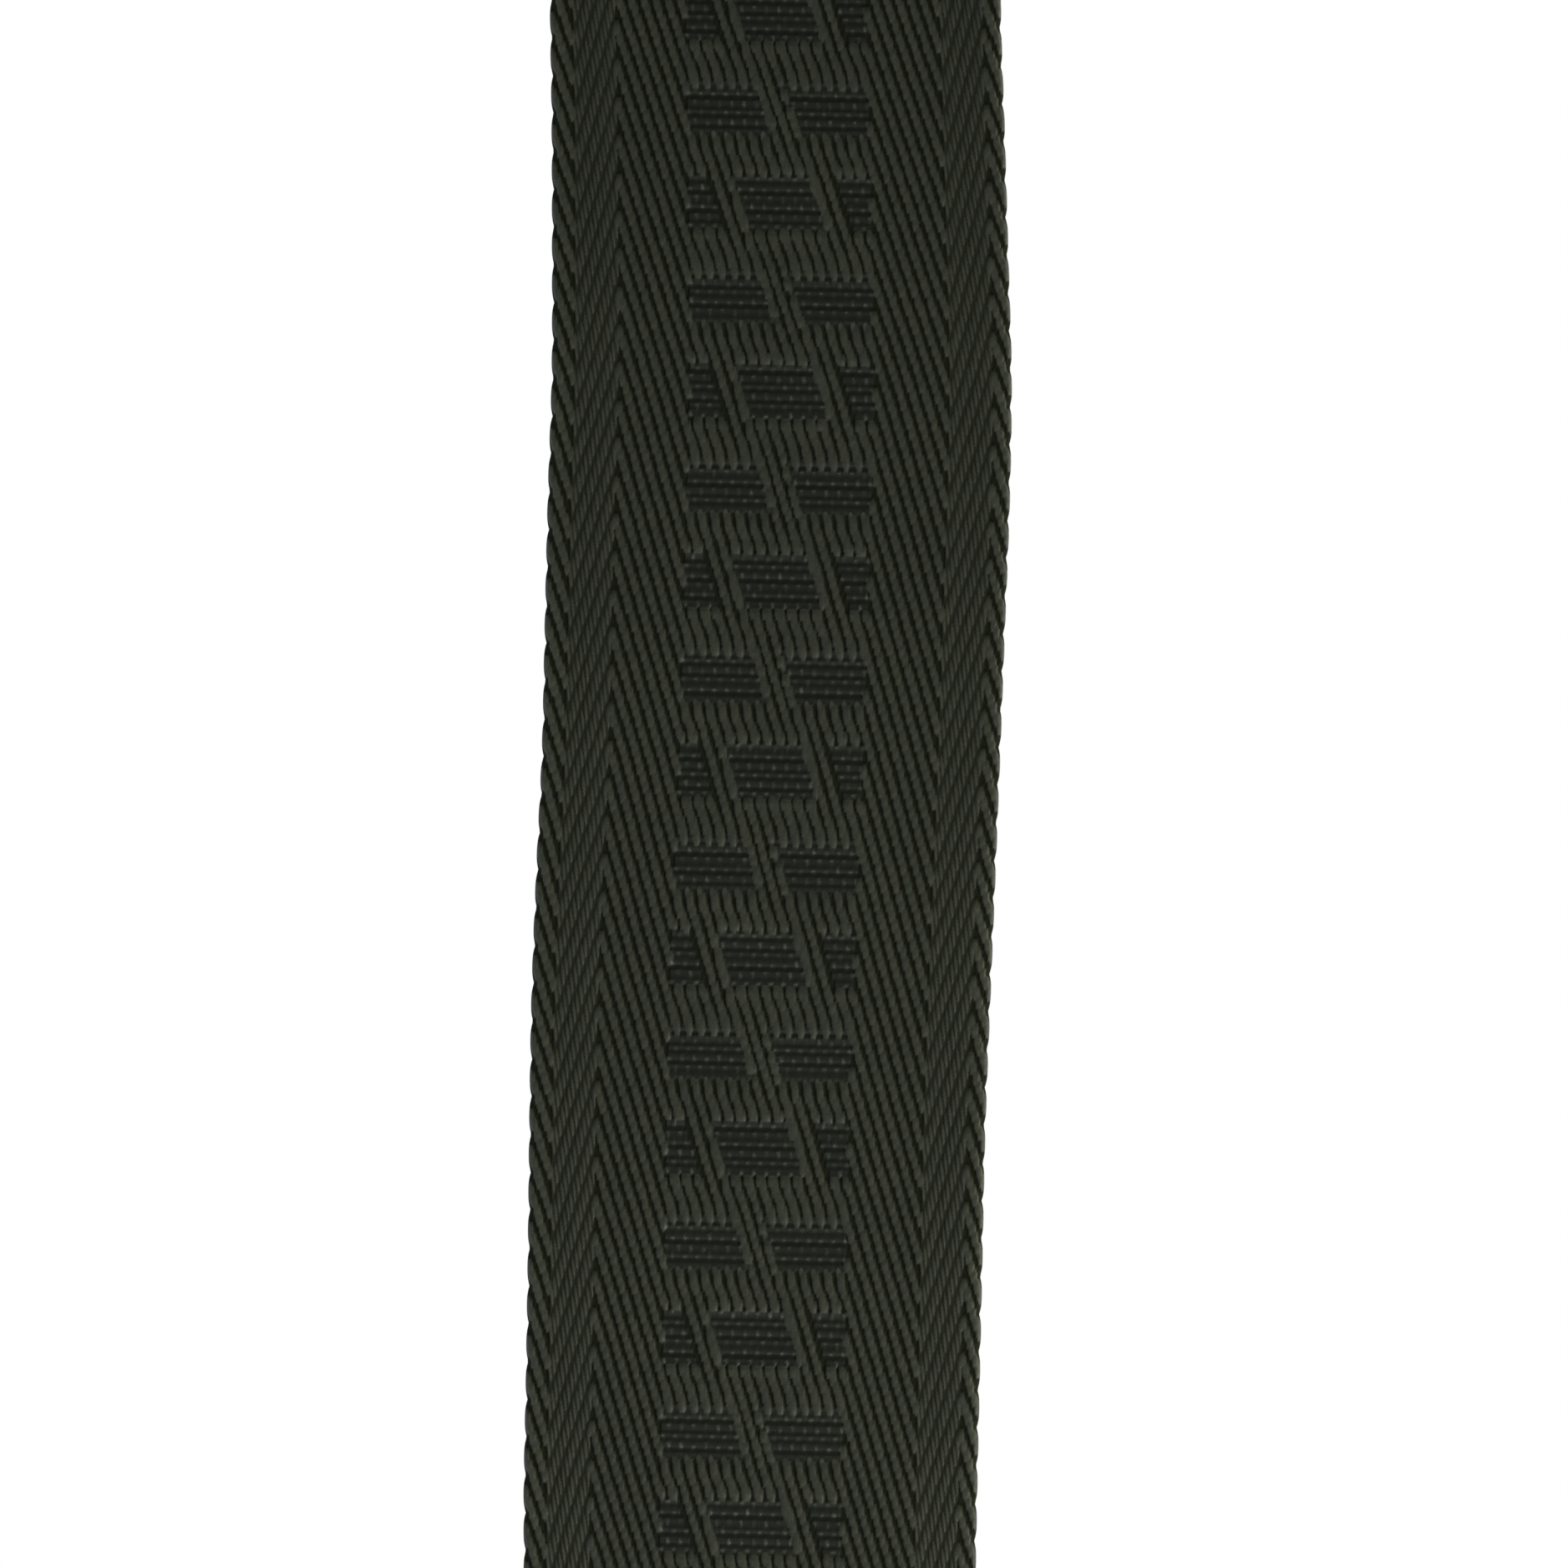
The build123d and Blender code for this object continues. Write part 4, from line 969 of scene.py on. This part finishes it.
def layer(name, foot_z, up, y_mid, gap, bend_u1, face):
    """One leather layer. up is +1 where the tab runs up from its sewn edge; face is +1 on the strap's face."""
    x, u = NET_V[:, 0], NET_V[:, 1]
    inner = close_up(u, gap, bend_u1)
    outer = inner + skin(x, u, D_RIM, D_SEAM, D_BOX, D_RIVET)
    low = inner + 0.30 * (1 - np.sqrt(np.clip(1 - (1 - np.clip(D_OUT / 0.30, 0, 1)) ** 2, 0, 1)))

    def place(xx, uu, tt):
        return np.stack([xx, y_mid - face * tt, foot_z + up * uu], -1)

    top, bot = place(x, u, outer), place(x, u, low)
    n = len(x)
    co = [top, bot]
    flexed = smooth(BEND_U0 - 4, BEND_U0 + 2, u) * (1 - smooth(bend_u1 - 1, bend_u1 + 6, u))
    edge_a, groove_a = [D_OUT, D_OUT * 0], [np.exp(-(np.minimum(D_SEAM, D_BOX) / 0.8) ** 2), np.zeros(n)]
    flex_a = [flexed, flexed * 0]
    tris = [NET_T, NET_T[:, ::-1] + n]
    quads = []
    at = 2 * n
    for k, lp in enumerate(NET_LOOPS):
        lp = np.array(lp)
        m = len(lp)
        p = NET_V[lp]
        nxt, prv = np.roll(p, -1, axis=0), np.roll(p, 1, axis=0)
        tan = nxt - prv
        out = np.stack([tan[:, 1], -tan[:, 0]], -1)
        out /= np.linalg.norm(out, axis=1, keepdims=True)
        a, b = outer[lp], low[lp]
        rows = []
        for f, push in ((0.28, 0.10), (0.55, 0.14), (0.80, 0.09)):
            if k > 0:
                push = 0.0
            q = p + out * push
            rows.append(at + np.arange(m))
            co.append(place(q[:, 0], q[:, 1], a + (b - a) * f))
            edge_a.append(np.zeros(m))
            groove_a.append(np.zeros(m))
            flex_a.append(np.zeros(m))
            at += m
        chain = [lp, *rows, lp + n]
        for r0, r1 in zip(chain, chain[1:]):
            quads.append(np.stack([r0, np.roll(r0, -1), np.roll(r1, -1), r1], -1))
    co = np.vstack(co)
    T, Q = np.vstack(tris), np.vstack(quads)
    t0 = co[T[0]]
    want = np.array([0, -face, 0])
    if np.cross(t0[1] - t0[0], t0[2] - t0[0]) @ want < 0:
        T = T[:, ::-1]
    # rim faces point out of the tab
    lp = np.array(NET_LOOPS[0])
    q = co[Q[len(lp) // 3]]
    if np.cross(q[1] - q[0], q[3] - q[0]) @ (q.mean(0) - np.array([0, y_mid, foot_z + up * 45.0])) < 0:
        Q = Q[:, ::-1]
    ob = make_mesh(name, co, Q, T, {"edge": np.concatenate(edge_a), "groove": np.concatenate(groove_a), "flexed": np.concatenate(flex_a)})
    return dress(ob, LEATHER)


# ------------------------------------------------------------------ stitches
def stitches(name, runs, mat, pitch=3.3, width=0.80, rise=0.42, twist=5.2):
    """Separate stitches along runs of 3-D points with normals: each rises from one hole and dives into the next."""
    rng = np.random.default_rng(len(name) * 31 + len(runs))
    V, Q, T, AL, TU = [], [], [], [], []
    at = 0
    NR, NT = 11, 10
    for pts, nrm, closed in runs:
        pts, nrm = np.asarray(pts, float), np.asarray(nrm, float)
        if closed:
            pts, nrm = np.vstack([pts, pts[:1]]), np.vstack([nrm, nrm[:1]])
        s = np.concatenate([[0], np.cumsum(np.linalg.norm(np.diff(pts, axis=0), axis=1))])
        n = max(1, int(round(s[-1] / pitch)))
        p = s[-1] / n
        for i in range(n):
            a, b = i * p + 0.20, (i + 1) * p - 0.20
            t = np.linspace(0, 1, NR)
            sv = a + (b - a) * t
            c = np.stack([np.interp(sv, s, pts[:, j]) for j in range(3)], -1)
            nn = np.stack([np.interp(sv, s, nrm[:, j]) for j in range(3)], -1)
            nn /= np.linalg.norm(nn, axis=1, keepdims=True)
            tan = np.gradient(c, axis=0)
            tan /= np.linalg.norm(tan, axis=1, keepdims=True)
            sidev = np.cross(tan, nn)
            sidev /= np.linalg.norm(sidev, axis=1, keepdims=True)
            # stitches lie slightly askew
            skew = (0.10 + 0.03 * rng.standard_normal()) * (t - 0.5)
            bow = np.clip(np.sin(np.pi * (0.04 + 0.92 * t)), 0, 1) ** 0.55
            c = c + nn * (rise * bow - 0.34)[:, None] + sidev * skew[:, None]
            rad = width / 2 * (0.72 + 0.28 * bow) * (1 + 0.03 * rng.standard_normal())
            th = np.linspace(0, 2 * np.pi, NT, endpoint=False)
            lobe = 0.90 + 0.10 * np.abs(np.cos(th[None, :] - twist * (sv - a)[:, None] / 2))
            ring_ = c[:, None, :] + (np.cos(th)[None, :, None] * sidev[:, None, :] + 0.86 * np.sin(th)[None, :, None] * nn[:, None, :]) * (rad[:, None] * lobe)[:, :, None]
            V.append(ring_.reshape(-1, 3))
            AL.append(np.repeat(sv, NT))
            TU.append(np.tile(th, NR))
            idx = at + np.arange(NR * NT).reshape(NR, NT)
            A, B = idx[:-1], idx[1:]
            Q.append(np.stack([A, np.roll(A, -1, 1), np.roll(B, -1, 1), B], -1).reshape(-1, 4))
            at += NR * NT
            for row, cc, flip in ((idx[0], c[0], True), (idx[-1], c[-1], False)):
                V.append(cc[None])
                AL.append([sv[0] if flip else sv[-1]])
                TU.append([0.0])
                tri = np.stack([row, np.roll(row, -1), np.full(NT, at)], -1)
                T.append(tri[:, ::-1] if flip else tri)
                at += 1
    V, Q, T = np.vstack(V), np.vstack(Q), np.vstack(T)
    # all rings turn the same way, so one test tells which way they face
    q = V[Q[NT * 3]]
    first = V[:NR * NT].reshape(NR, NT, 3)[3].mean(0)
    if np.cross(q[1] - q[0], q[3] - q[0]) @ (q.mean(0) - first) < 0:
        Q, T = Q[:, ::-1], T[:, ::-1]
    ob = make_mesh(name, V, Q, T, {"along": np.concatenate(AL), "turn": np.concatenate(TU)})
    return dress(ob, mat)


def on_tab(path2, foot_z, up, y_mid, gap, bend_u1, face, closed):
    """A seam's points on the outside of a tab's layer, with normals."""
    p = even(np.asarray(path2, float), 0.5, closed)
    t = close_up(p[:, 1], gap, bend_u1) + LEATHER_T + hollow(p[:, 0], p[:, 1])
    slope = np.gradient(t, np.arange(len(t)) * 0.5) if len(t) > 2 else t * 0
    pts = np.stack([p[:, 0], y_mid - face * t, foot_z + up * p[:, 1]], -1)
    nrm = np.zeros_like(pts)
    nrm[:, 1] = -face
    return pts, nrm, closed


def tab(prefix, foot_z, up, y_mid, gap, bend_u1, body):
    for face, part in ((1, "face"), (-1, "back")):
        ob = layer(f"{prefix}_leather_{part}", foot_z, up, y_mid, gap, bend_u1, face)
        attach(ob, body)
        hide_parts(f"{prefix}_{part}")
    runs = [on_tab(SEAM, foot_z, up, y_mid, gap, bend_u1, f, True) for f in (1, -1)]
    ob = stitches(f"{prefix}_edge_stitches", runs, THREAD)
    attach(ob, body)
    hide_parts(f"{prefix}_edge_stitching")
    runs = [on_tab(np.array([a, b]), foot_z, up, y_mid, gap, bend_u1, f, False) for f in (1, -1) for a, b in BOX_LINES]
    ob = stitches(f"{prefix}_box_stitches", runs, THREAD)
    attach(ob, body)
    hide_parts(f"{prefix}_box_stitching")


FRONT_Z = -HOLE_U
REAR_Z = LOW_Z - 16.0
tab("front_tab", FRONT_Z, 1, 0.0, WEB_T / 2, 51.0, "strap")
tab("rear_tab", REAR_Z, -1, RING_Y, R_HALF, 55.0, "rear_end")

# the seam that holds the band's sewn end, through both layers
seam_z, seam_w, seam_h = GLIDE_Z - 33.0, 42.0, 20.0
box2 = np.array([(-seam_w / 2, seam_z - seam_h / 2), (seam_w / 2, seam_z - seam_h / 2),
                 (seam_w / 2, seam_z + seam_h / 2), (-seam_w / 2, seam_z + seam_h / 2)])
runs = []
for y, ny in ((RET_Y + WEB_T / 2, 1.0), (tail_in - WEB_T / 2, -1.0)):
    lines = [(box2[i], box2[(i + 1) % 4]) for i in range(4)] + [((-seam_w / 2, seam_z), (seam_w / 2, seam_z))]
    for a, b in lines:
        p = even(np.array([a, b]), 0.5, False)
        pts = np.stack([p[:, 0], np.full(len(p), y), p[:, 1]], -1)
        nrm = np.zeros_like(pts)
        nrm[:, 1] = ny
        runs.append((pts, nrm, False))
ob = stitches("sewn_end_stitches", runs, THREAD_DARK, pitch=3.0, rise=0.46)
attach(ob, "slide")
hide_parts("webbing_end_stitching")


# ------------------------------------------------------------------ rivets
def lathe(name, centres, profile, axis_y, mat, n=64):
    """Turned pieces: profile is (radius, height) from the axis at the back to the axis at the top; heights run along axis_y."""
    prof = np.array(profile, float)
    th = np.linspace(0, 2 * np.pi, n, endpoint=False)
    V, Q, T, W, at = [], [], [], [], 0
    for cx, cy, cz in centres:
        body = prof[1:-1]
        r, h = body[:, 0], body[:, 1]
        P = np.stack([cx + r[:, None] * np.cos(th), cy + axis_y * (h[:, None] + 0 * th), cz + r[:, None] * np.sin(th)], -1)
        m = len(body)
        idx = at + np.arange(m * n).reshape(m, n)
        V.append(P.reshape(-1, 3))
        slope = np.abs(np.gradient(np.arctan2(np.gradient(h), np.gradient(r))))
        W.append(np.repeat(np.clip(slope, 0, 1), n))
        A, B = idx[:-1], idx[1:]
        Q.append(np.stack([A, np.roll(A, -1, 1), np.roll(B, -1, 1), B], -1).reshape(-1, 4))
        at += m * n
        for row, (rr, hh), flip in ((idx[0], prof[0], True), (idx[-1], prof[-1], False)):
            V.append(np.array([[cx, cy + axis_y * hh, cz]]))
            W.append([0.0])
            tri = np.stack([row, np.roll(row, -1), np.full(n, at)], -1)
            T.append(tri[:, ::-1] if flip else tri)
            at += 1
    V, Q, T = np.vstack(V), np.vstack(Q), np.vstack(T)
    mid = V[: (len(prof) - 2) * n].mean(0)
    k = (len(prof) - 4) * n
    q = V[Q[k]]
    if np.cross(q[1] - q[0], q[3] - q[0]) @ np.array([0, axis_y, 0]) < 0:
        Q, T = Q[:, ::-1], T[:, ::-1]
    ob = make_mesh(name, V, Q, T, {"wear": np.concatenate(W)})
    return dress(ob, mat)


def cap_profile(rim, rise, post, sink=0.0):
    """Pressed cap: post, flat underside, rolled rim, a shallow step and the dome."""
    R = (CAP_R ** 2 + rise ** 2) / (2 * rise)
    pts = []
    if post:
        pts += [(0, -post), (POST_R - 0.25, -post), (POST_R, -post + 0.25), (POST_R, -0.02)]
    else:
        pts += [(0, -0.0)]
    pts += [(CAP_R - 0.45, 0.0), (CAP_R - 0.18, 0.04)]
    for a in np.linspace(-70, 70, 9):
        pts.append((CAP_R - 0.30 + 0.30 * math.cos(math.radians(a)), rim / 2 + (rim / 2 - 0.02) * math.sin(math.radians(a))))
    pts.append((CAP_R - 0.42, rim + 0.015))
    for f in np.linspace(0.88, 0.0, 15):
        x = CAP_R * f
        pts.append((max(x, 0.0), rim + rise - R + math.sqrt(R * R - x * x)))
    return pts


def rivets(prefix, foot_z, up, y_mid, gap, body):
    face_y = gap + LEATHER_T
    centres = [(sx * RIVET_X, y_mid - face_y, foot_z + up * RIVET_U) for sx in (-1, 1)]
    ob = lathe(f"{prefix}_rivet_caps_turned", centres, cap_profile(0.7, 1.2, 2 * face_y - 0.05), -1.0, RIVET)
    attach(ob, body)
    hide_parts(f"{prefix}_rivet_caps")
    centres = [(sx * RIVET_X, y_mid + face_y, foot_z + up * RIVET_U) for sx in (-1, 1)]
    ob = lathe(f"{prefix}_rivet_backs_turned", centres, cap_profile(0.7, 0.7, 0), 1.0, RIVET)
    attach(ob, body)
    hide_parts(f"{prefix}_rivet_backs")


rivets("front", FRONT_Z, 1, 0.0, WEB_T / 2, "strap")
rivets("rear", REAR_Z, -1, RING_Y, R_HALF, "rear_end")


# ------------------------------------------------------------------ ring
def wire_ring():
    """Rectangular ring of round wire, butt-welded in one side."""
    x, zt, zb, r = mm(ring_hi.x) - WIRE_R, RING_Z, LOW_Z, 3.1
    p = []
    for a, b in (((-x + r, zt), (x - r, zt)),):
        p += line(a, b, 1.2)[:-1]
    p += [(x - r + r * math.sin(t), zt - r + r * math.cos(t)) for t in np.linspace(0, math.pi / 2, 15)]
    p += line((x, zt - r), (x, zb + r), 0.25)[1:-1]
    p += [(x - r + r * math.cos(t), zb + r - r * math.sin(t)) for t in np.linspace(0, math.pi / 2, 15)]
    p += line((x - r, zb), (-x + r, zb), 1.2)[1:-1]
    p += [(-x + r - r * math.sin(t), zb + r - r * math.cos(t)) for t in np.linspace(0, math.pi / 2, 15)]
    p += line((-x, zb + r), (-x, zt - r), 0.8)[1:-1]
    p += [(-x + r - r * math.cos(t), zt - r + r * math.sin(t)) for t in np.linspace(0, math.pi / 2, 15)][:-1]
    p = np.array(p)
    tan = np.roll(p, -1, 0) - np.roll(p, 1, 0)
    tan /= np.linalg.norm(tan, axis=1, keepdims=True)
    nrm = np.stack([-tan[:, 1], tan[:, 0]], -1)
    n, m = len(p), 40
    th = np.linspace(0, 2 * np.pi, m, endpoint=False)
    zm = (zt + zb) / 2
    on_side = (np.abs(p[:, 0] - x) < 0.05)
    d = np.where(on_side, np.abs(p[:, 1] - zm), 99.0)
    rad = WIRE_R + 0.13 * np.exp(-(d / 0.7) ** 2) - 0.10 * np.exp(-((d - 1.2) / 0.35) ** 2) * on_side
    rad = rad[:, None] * (1 + 0.012 * np.exp(-(d / 0.8) ** 2)[:, None] * np.sin(3 * th + 1.0)[None, :])
    X = p[:, 0:1] + nrm[:, 0:1] * np.cos(th) * rad
    Z = p[:, 1:2] + nrm[:, 1:2] * np.cos(th) * rad
    Y = RING_Y + np.sin(th)[None, :] * rad + 0 * X
    V = np.stack([X, Y, Z], -1)
    wear = np.clip(1 - d / 2.0, 0, 1)[:, None] * 0.4 + 0.35 * (np.abs(p[:, 0]) > x - r)[:, None] * np.clip(np.cos(th) * np.sign((nrm * p * [1, 0]).sum(1))[:, None], 0, 1)
    idx = np.arange(n * m).reshape(n, m)
    A, B = idx, np.roll(idx, -1, 0)
    Q = np.stack([A, np.roll(A, -1, 1), np.roll(B, -1, 1), B], -1).reshape(-1, 4)
    co = V.reshape(-1, 3)
    q = co[Q[0]]
    c0 = np.array([p[0, 0], RING_Y, p[0, 1]])
    if np.cross(q[1] - q[0], q[3] - q[0]) @ (q.mean(0) - c0) < 0:
        Q = Q[:, ::-1]
    ob = make_mesh("ring_of_wire", co, Q, (), {"wear": wear.ravel()})
    return dress(ob, BLACK)


ob = wire_ring()
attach(ob, "ring")
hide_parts("ring")


# ------------------------------------------------------------------ slide
def tube(path3, frame_x, sect, close_ends=True):
    """Solid swept along points: sect(theta) gives (a, b) in the plane of frame_x and the path's normal."""
    p = np.asarray(path3, float)
    tan = np.gradient(p, axis=0)
    tan /= np.linalg.norm(tan, axis=1, keepdims=True)
    fx = np.array(frame_x, float)
    ny = np.cross(tan, fx)
    ny /= np.linalg.norm(ny, axis=1, keepdims=True)
    m = 36
    th = np.linspace(0, 2 * np.pi, m, endpoint=False)
    a, b = sect(th)
    V = p[:, None, :] + a[None, :, None] * fx + b[None, :, None] * ny[:, None, :]
    n = len(p)
    idx = np.arange(n * m).reshape(n, m)
    A, B = idx[:-1], idx[1:]
    Q = np.stack([A, np.roll(A, -1, 1), np.roll(B, -1, 1), B], -1).reshape(-1, 4)
    co = np.vstack([V.reshape(-1, 3), p[:1], p[-1:]])
    T = np.vstack([np.stack([idx[0], np.roll(idx[0], -1), np.full(m, n * m)], -1)[:, ::-1],
                   np.stack([idx[-1], np.roll(idx[-1], -1), np.full(m, n * m + 1)], -1)])
    return co, Q, T


def rounded(w, t, k=4.0):
    """Section with softly rounded corners, w by t."""
    def f(th):
        c, s = np.cos(th), np.sin(th)
        return (w / 2 * np.sign(c) * np.abs(c) ** (2 / k), t / 2 * np.sign(s) * np.abs(s) ** (2 / k))
    return f


def cast_slide():
    lo, hi = glide_lo, glide_hi
    half_x = mm(hi.x)
    rail = 5.0
    bar = 1.6
    span = 14.0
    fy = mm(lo.y) + bar
    gy = FOLD_Y
    # circle through the three bars
    sag = gy - fy
    R = (span ** 2 + sag ** 2) / (2 * sag)
    cy = gy - R
    a = math.asin(span / R)
    arc_pts = [(cy + R * math.cos(t), GLIDE_Z + R * math.sin(t)) for t in np.linspace(-a, a, 41)]
    parts = []
    for sx in (-1, 1):
        x = sx * (half_x - rail / 2)
        # straight past the outer bars by their radius, so the ends are round
        ends = []
        for t, d in ((-a, -1), (a, 1)):
            y0, z0 = cy + R * math.cos(t), GLIDE_Z + R * math.sin(t)
            ty, tz = -math.sin(t) * d, math.cos(t) * d
            ends.append((y0 + ty * 1.0, z0 + tz * 1.0))
        pts = [ends[0]] + arc_pts + [ends[1]]
        parts.append(tube([(x, y, z) for y, z in pts], (1, 0, 0), rounded(rail, 2 * bar, 3.6)))
        for t in (-a, a):
            y0, z0 = cy + R * math.cos(t), GLIDE_Z + R * math.sin(t)
            parts.append(tube([(x + d, y0, z0) for d in np.linspace(-rail / 2 + 0.35, rail / 2 - 0.35, 9)], (0, 1, 0), rounded(2 * bar, 2 * bar, 2.0)))
    for t in (-a, a):
        y0, z0 = cy + R * math.cos(t), GLIDE_Z + R * math.sin(t)
        parts.append(tube([(x, y0, z0) for x in np.linspace(-half_x + 2, half_x - 2, 60)], (0, 1, 0), rounded(2 * bar, 2 * bar, 2.2)))
    parts.append(tube([(x, gy, GLIDE_Z) for x in np.linspace(-half_x + 2.5, half_x - 2.5, 60)], (0, 1, 0), rounded(2.4, 5.0, 3.2)))
    co, Q, T, at = [], [], [], 0
    for c, q, t in parts:
        co.append(c)
        Q.append(q + at)
        T.append(t + at)
        at += len(c)
    ob = make_mesh("slide_blank", np.vstack(co), np.vstack(Q), np.vstack(T))
    # the sweeps may face in; recalculated before they are fused
    import bmesh
    bm = bmesh.new()
    bm.from_mesh(ob.data)
    bmesh.ops.recalc_face_normals(bm, faces=bm.faces)
    bm.to_mesh(ob.data)
    bm.free()
    mod = ob.modifiers.new("fuse", "REMESH")
    mod.mode = "VOXEL"
    mod.voxel_size = 0.00024
    mod.adaptivity = 0.0
    sm = ob.modifiers.new("cast", "SMOOTH")
    sm.factor = 0.5
    sm.iterations = 7
    dg = bpy.context.evaluated_depsgraph_get()
    me = bpy.data.meshes.new_from_object(ob.evaluated_get(dg))
    bpy.data.objects.remove(ob)
    me.name = "three_bar_slide"
    out = bpy.data.objects.new("three_bar_slide", me)
    scene.collection.objects.link(out)
    me.shade_smooth()
    # where straps and hands rub: outer faces of the rails and the crowns of the bars
    v = np.empty(len(me.vertices) * 3, np.float32)
    me.vertices.foreach_get("co", v)
    v = v.reshape(-1, 3) / MM
    n = np.empty(len(me.vertices) * 3, np.float32)
    me.vertices.foreach_get("normal", n)
    n = n.reshape(-1, 3)
    e = np.empty(len(me.edges) * 2, np.int32)
    me.edges.foreach_get("vertices", e)
    e = e.reshape(-1, 2)
    dn = np.linalg.norm(n[e[:, 0]] - n[e[:, 1]], axis=1)
    dv = ((v[e[:, 1]] - v[e[:, 0]]) * (n[e[:, 1]] - n[e[:, 0]])).sum(1)
    curve = np.zeros(len(v))
    cnt = np.zeros(len(v))
    k = dn * np.sign(dv)
    np.add.at(curve, e[:, 0], k)
    np.add.at(curve, e[:, 1], k)
    np.add.at(cnt, e[:, 0], 1)
    np.add.at(cnt, e[:, 1], 1)
    curve /= np.maximum(cnt, 1)
    wear = np.clip(curve / 0.20, 0, 1)
    me.attributes.new("wear", "FLOAT", "POINT").data.foreach_set("value", wear.astype(np.float32))
    return dress(out, BLACK)


ob = cast_slide()
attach(ob, "slide")
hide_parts("tri_glide")

# ------------------------------------------------------------------ stage, light, camera
FLOOR_Z = -1.30


def floor():
    me = bpy.data.meshes.new("floor")
    s = 14.0
    me.from_pydata([(-s, -s, FLOOR_Z), (s, -s, FLOOR_Z), (s, s, FLOOR_Z), (-s, s, FLOOR_Z)], [], [(0, 1, 2, 3)])
    ob = bpy.data.objects.new("floor", me)
    scene.collection.objects.link(ob)
    m, nt, b = material("floor_pale")
    b.inputs["Base Color"].default_value = (0.80, 0.80, 0.79, 1)
    b.inputs["Roughness"].default_value = 0.85
    b.inputs["Emission Color"].default_value = (0.97, 0.98, 1.0, 1)
    b.inputs["Emission Strength"].default_value = 0.45
    me.materials.append(m)


floor()

world = bpy.data.worlds.new("studio")
scene.world = world
world.use_nodes = True
wn = world.node_tree
wn.nodes.clear()
wo = wn.nodes.new("ShaderNodeOutputWorld")
seen_bg = wn.nodes.new("ShaderNodeBackground")
seen_bg.inputs["Color"].default_value = (1.0, 1.0, 1.0, 1)
seen_bg.inputs["Strength"].default_value = 1.0
fill = wn.nodes.new("ShaderNodeBackground")
fill.inputs["Color"].default_value = (0.92, 0.96, 1.0, 1)
fill.inputs["Strength"].default_value = 0.19
pick = wn.nodes.new("ShaderNodeMixShader")
ray = wn.nodes.new("ShaderNodeLightPath")
wn.links.new(ray.outputs["Is Camera Ray"], pick.inputs[0])
wn.links.new(fill.outputs[0], pick.inputs[1])
wn.links.new(seen_bg.outputs[0], pick.inputs[2])
wn.links.new(pick.outputs[0], wo.inputs[0])


def area(name, at, to, size, power, colour=(1, 1, 1)):
    li = bpy.data.lights.new(name, "AREA")
    li.shape = "RECTANGLE"
    li.size, li.size_y = size
    li.energy = power
    li.color = colour
    ob = bpy.data.objects.new(name, li)
    scene.collection.objects.link(ob)
    ob.location = at
    ob.rotation_euler = (Vector(to) - Vector(at)).to_track_quat("-Z", "Y").to_euler()
    ob.visible_camera = False


area("key", (0.385, -0.315, -0.561), (0, 0, -0.372), (0.22, 0.31), 4.0, (1.0, 0.99, 0.95))
area("fill", (-1.7, -1.3, -0.1), (0, 0, -0.4), (1.4, 1.6), 7.0, (0.93, 0.97, 1.0))
area("back", (0.6, 2.0, 0.3), (0, 0, -0.5), (1.6, 1.4), 22.0)
area("rim_left", (-0.95, 0.22, -0.25), (0, 0, -0.35), (0.3, 1.2), 3.2, (0.72, 0.84, 1.0))
area("rim_right", (0.95, 0.16, -0.25), (0, 0, -0.35), (0.3, 1.2), 8.0, (1.0, 0.95, 0.80))
scene.view_settings.view_transform = "Standard"
scene.view_settings.look = "None"

VIEW_H = 172.05 * MM
ROLL = math.atan(LEAN)
cam = bpy.data.cameras.new("camera")
cam_ob = bpy.data.objects.new("camera", cam)
scene.collection.objects.link(cam_ob)
cam.sensor_fit = "HORIZONTAL"
cam.sensor_width = 36.0
DIST = 1.25
cam.lens = 36.0 * DIST / VIEW_H
cam.clip_start, cam.clip_end = 0.05, 60.0
right = Vector((math.cos(ROLL), 0, math.sin(ROLL)))
up = Vector((-math.sin(ROLL), 0, math.cos(ROLL)))
back = Vector((0, -1, 0))
mid_z = (VIEW_TOP - 938.5 * PX) * MM
off_x = (938.5 - 918.4) * PX * MM
at = Vector((0, 0, mid_z)) + right * off_x + back * DIST
rot = Matrix((right, up, back)).transposed()
cam_ob.matrix_world = Matrix.Translation(at) @ rot.to_4x4()
scene.camera = cam_ob
